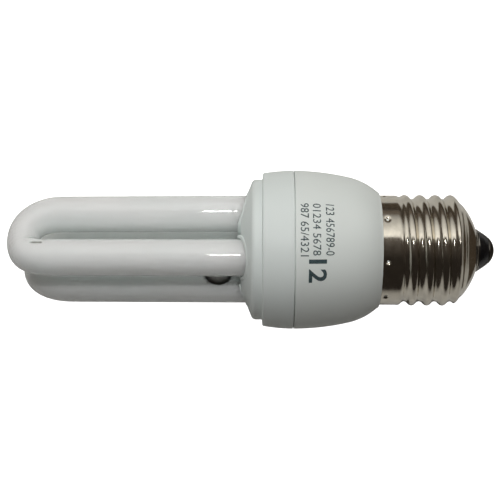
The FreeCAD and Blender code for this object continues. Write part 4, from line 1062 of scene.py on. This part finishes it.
class LAMP_OT_stage(bpy.types.Operator):
    """Set the white table, the window light, the camera and the dim room"""
    bl_idname = "lamp.stage"
    bl_label = "Stage"

    # Side of the table in metres and its glow to the camera
    table_size = 3
    table_glow = 1.2

    # Window: half its width, and its foot and top as (y, z), in millimetres, with their strengths
    window_half = 1300
    window_foot = (780, 165)
    window_top = (400, 790)
    window_low = 0.26
    window_high = 1.32

    # Flags' height over the table in millimetres
    flag_height = 1

    # Lamps: the place that they shine on and their own, in millimetres, and their powers in watts
    lamp_target = (-46.3, 0, 0)
    flash_place = (-46.3, 88, 272)
    flash_power = 0.31
    glint_place = (-46.3, 76, 272)
    glint_power = 0.07

    # Room: strengths of its light on the far and the near side
    room_far = 0.1
    room_near = 0.6

    # Camera: its place and lens in millimetres, and how it leans and rolls
    eye_place = (-27.35, -0.12, 272)
    eye_lens = 82.5
    eye_lean = math.radians(0.625)
    eye_roll = math.radians(0.25)

    def paper(self):
        """White paper that the lamp lies on, bright to the camera as in the photograph."""
        material, tree, shader, place = new_material("white_paper", {"Roughness": 0.9})
        fibre = noise(tree, place, 3.0, 3.0)
        tree.links.new(two_tone(tree, fibre, hex_colour("#E6E6E4"), hex_colour("#EDEDEB")),
                       shader.inputs["Base Color"])
        glow = add_node(tree, "ShaderNodeEmission", inputs={"Strength": self.table_glow})
        seen = add_node(tree, "ShaderNodeLightPath").outputs["Is Camera Ray"]
        lit = add_node(tree, "ShaderNodeAddShader", inputs={
            0: glow.outputs["Emission"], 1: shader.outputs["BSDF"]})
        mix = add_node(tree, "ShaderNodeMixShader", inputs={
            "Fac": seen, 1: shader.outputs["BSDF"], 2: lit.outputs["Shader"]})
        output = [node for node in tree.nodes if node.type == "OUTPUT_MATERIAL"][0]
        tree.links.new(mix.outputs["Shader"], output.inputs["Surface"])
        return material

    def table(self):
        """The table at the lowest point of the lamp."""
        bpy.ops.object.select_all(action="DESELECT")
        bpy.ops.mesh.primitive_plane_add(size=self.table_size, location=(0, 0, CAD_BOX[0][2]))
        table = bpy.context.object
        table.name = "white_table"
        bpy.ops.object.transform_apply(location=True)
        table.data.materials.append(self.paper())

    def sheet(self, name, left, right, near, far):
        """A sheet that the camera doesn't see, its near and far edges at (y, z) in millimetres."""
        bpy.ops.object.select_all(action="DESELECT")
        bpy.ops.mesh.primitive_plane_add(size=1, location=(0, 0, 0))
        sheet = bpy.context.object
        sheet.name = sheet.data.name = name
        for vertex in sheet.data.vertices:
            side = left if vertex.co.x < 0 else right
            edge = near if vertex.co.y < 0 else far
            vertex.co = Vector((side, *edge)) * MM
        sheet.visible_camera = False
        return sheet

    def window(self):
        """Tall soft window, wider than the lamp and brighter towards its top."""
        pane = self.sheet("window", -self.window_half, self.window_half, self.window_foot,
                          self.window_top)
        material = bpy.data.materials.new("window_light")
        tree = empty_tree(material)
        place = add_node(tree, "ShaderNodeTexCoord").outputs["Object"]
        height = add_node(tree, "ShaderNodeSeparateXYZ", inputs={"Vector": place}).outputs["Z"]
        rise = add_node(tree, "ShaderNodeMapRange", inputs={
            "Value": height, "From Min": self.window_foot[1] * MM,
            "From Max": self.window_top[1] * MM,
            "To Min": self.window_low, "To Max": self.window_high})
        light = add_node(tree, "ShaderNodeEmission", inputs={
            "Color": hex_colour("#FFFDF8"), "Strength": rise.outputs["Result"]})
        add_node(tree, "ShaderNodeOutputMaterial", inputs={"Surface": light.outputs["Emission"]})
        pane.data.materials.append(material)

    def flag(self, name, left, right, near, far):
        """Dark cloth just over the table that only mirrors see, as dim as the room behind it."""
        height = CAD_BOX[0][2] / MM + self.flag_height
        flag = self.sheet(name, left, right, (near, height), (far, height))
        material = new_material("dark_velvet", {
            "Roughness": 1.0, "Base Color": hex_colour("#54493C")})[0]
        flag.data.materials.append(material)
        flag.visible_diffuse = False
        flag.visible_shadow = False
        flag.visible_transmission = False

    def area(self, name, place, width, height, power):
        """An area light at a place in millimetres, turned towards the lamps' target."""
        light = bpy.data.lights.new(name, "AREA")
        light.shape = "RECTANGLE"
        light.size = width * MM
        light.size_y = height * MM
        light.energy = power
        lamp = bpy.data.objects.new(name, light)
        bpy.context.scene.collection.objects.link(lamp)
        lamp.location = Vector(place) * MM
        aim = (Vector(self.lamp_target) - Vector(place)).to_track_quat("-Z", "Y")
        lamp.rotation_euler = aim.to_euler()
        return lamp

    def room(self):
        """Warm dim room, darker on the far side, and plain white to the camera."""
        world = bpy.data.worlds.new("dim_room")
        tree = empty_tree(world)
        seen = add_node(tree, "ShaderNodeLightPath").outputs["Is Camera Ray"]
        heading = add_node(tree, "ShaderNodeTexCoord").outputs["Generated"]
        across = add_node(tree, "ShaderNodeSeparateXYZ", inputs={"Vector": heading})
        dusk = add_node(tree, "ShaderNodeMapRange", inputs={
            "Value": across.outputs["Y"], "From Min": -0.3, "From Max": 1.0,
            "To Min": self.room_far, "To Max": self.room_near})
        walls = add_node(tree, "ShaderNodeBackground", inputs={
            "Color": hex_colour("#84796F"), "Strength": dusk.outputs["Result"]})
        sky = add_node(tree, "ShaderNodeBackground", inputs={"Strength": 1.0})
        mix = add_node(tree, "ShaderNodeMixShader", inputs={
            "Fac": seen, 1: walls.outputs["Background"], 2: sky.outputs["Background"]})
        add_node(tree, "ShaderNodeOutputWorld", inputs={"Surface": mix.outputs["Shader"]})
        return world

    def camera(self):
        """Camera straight over the lamp, as far away as the photograph's."""
        camera = bpy.data.cameras.new("camera")
        camera.lens = self.eye_lens
        camera.clip_start = 0.01
        eye = bpy.data.objects.new("camera", camera)
        bpy.context.scene.collection.objects.link(eye)
        eye.location = Vector(self.eye_place) * MM
        eye.rotation_euler = (0, self.eye_lean, self.eye_roll)
        return eye

    def execute(self, context):
        self.table()
        self.flag("window_flag", -1300, 1300, 60, 700)
        self.flag("cap_flag", 38, 140, -20, 20)
        self.window()
        flash = self.area("flash", self.flash_place, 16, 5, self.flash_power)
        flash.visible_glossy = False
        glint = self.area("flash_glint", self.glint_place, 16, 28, self.glint_power)
        glint.visible_diffuse = False
        context.scene.world = self.room()
        context.scene.camera = self.camera()
        context.scene.view_settings.view_transform = "Standard"
        return {"FINISHED"}


class LAMP_PT_panel(bpy.types.Panel):
    """Lists the lamp's sizes, colours and pieces"""
    bl_label = "Fluorescent lamp"
    bl_space_type = "VIEW_3D"
    bl_region_type = "UI"
    bl_category = "Lamp"

    def draw(self, context):
        for name in LampSizes.__annotations__:
            self.layout.prop(context.scene.lamp_sizes, name)
        for name in LampColours.__annotations__:
            self.layout.prop(context.scene.lamp_colours, name)
        for piece in PIECES:
            self.layout.operator(piece.bl_idname)


PIECES = (LAMP_OT_glass, LAMP_OT_holder, LAMP_OT_housing, LAMP_OT_print, LAMP_OT_cap,
          LAMP_OT_cap_end, LAMP_OT_inside, LAMP_OT_stage)
CLASSES = (LampSizes, LampColours, *PIECES, LAMP_PT_panel)


def register():
    """Registers the classes and the scene's properties."""
    for kind in CLASSES:
        bpy.utils.register_class(kind)
    bpy.types.Scene.lamp_sizes = PointerProperty(type=LampSizes)
    bpy.types.Scene.lamp_colours = PointerProperty(type=LampColours)


def unregister():
    """Takes the properties and classes away again."""
    del bpy.types.Scene.lamp_colours
    del bpy.types.Scene.lamp_sizes
    for kind in reversed(CLASSES):
        bpy.utils.unregister_class(kind)


def main():
    register()
    for piece in PIECES:
        group, name = piece.bl_idname.split(".")
        getattr(getattr(bpy.ops, group), name)()


if __name__ == "__main__":
    main()
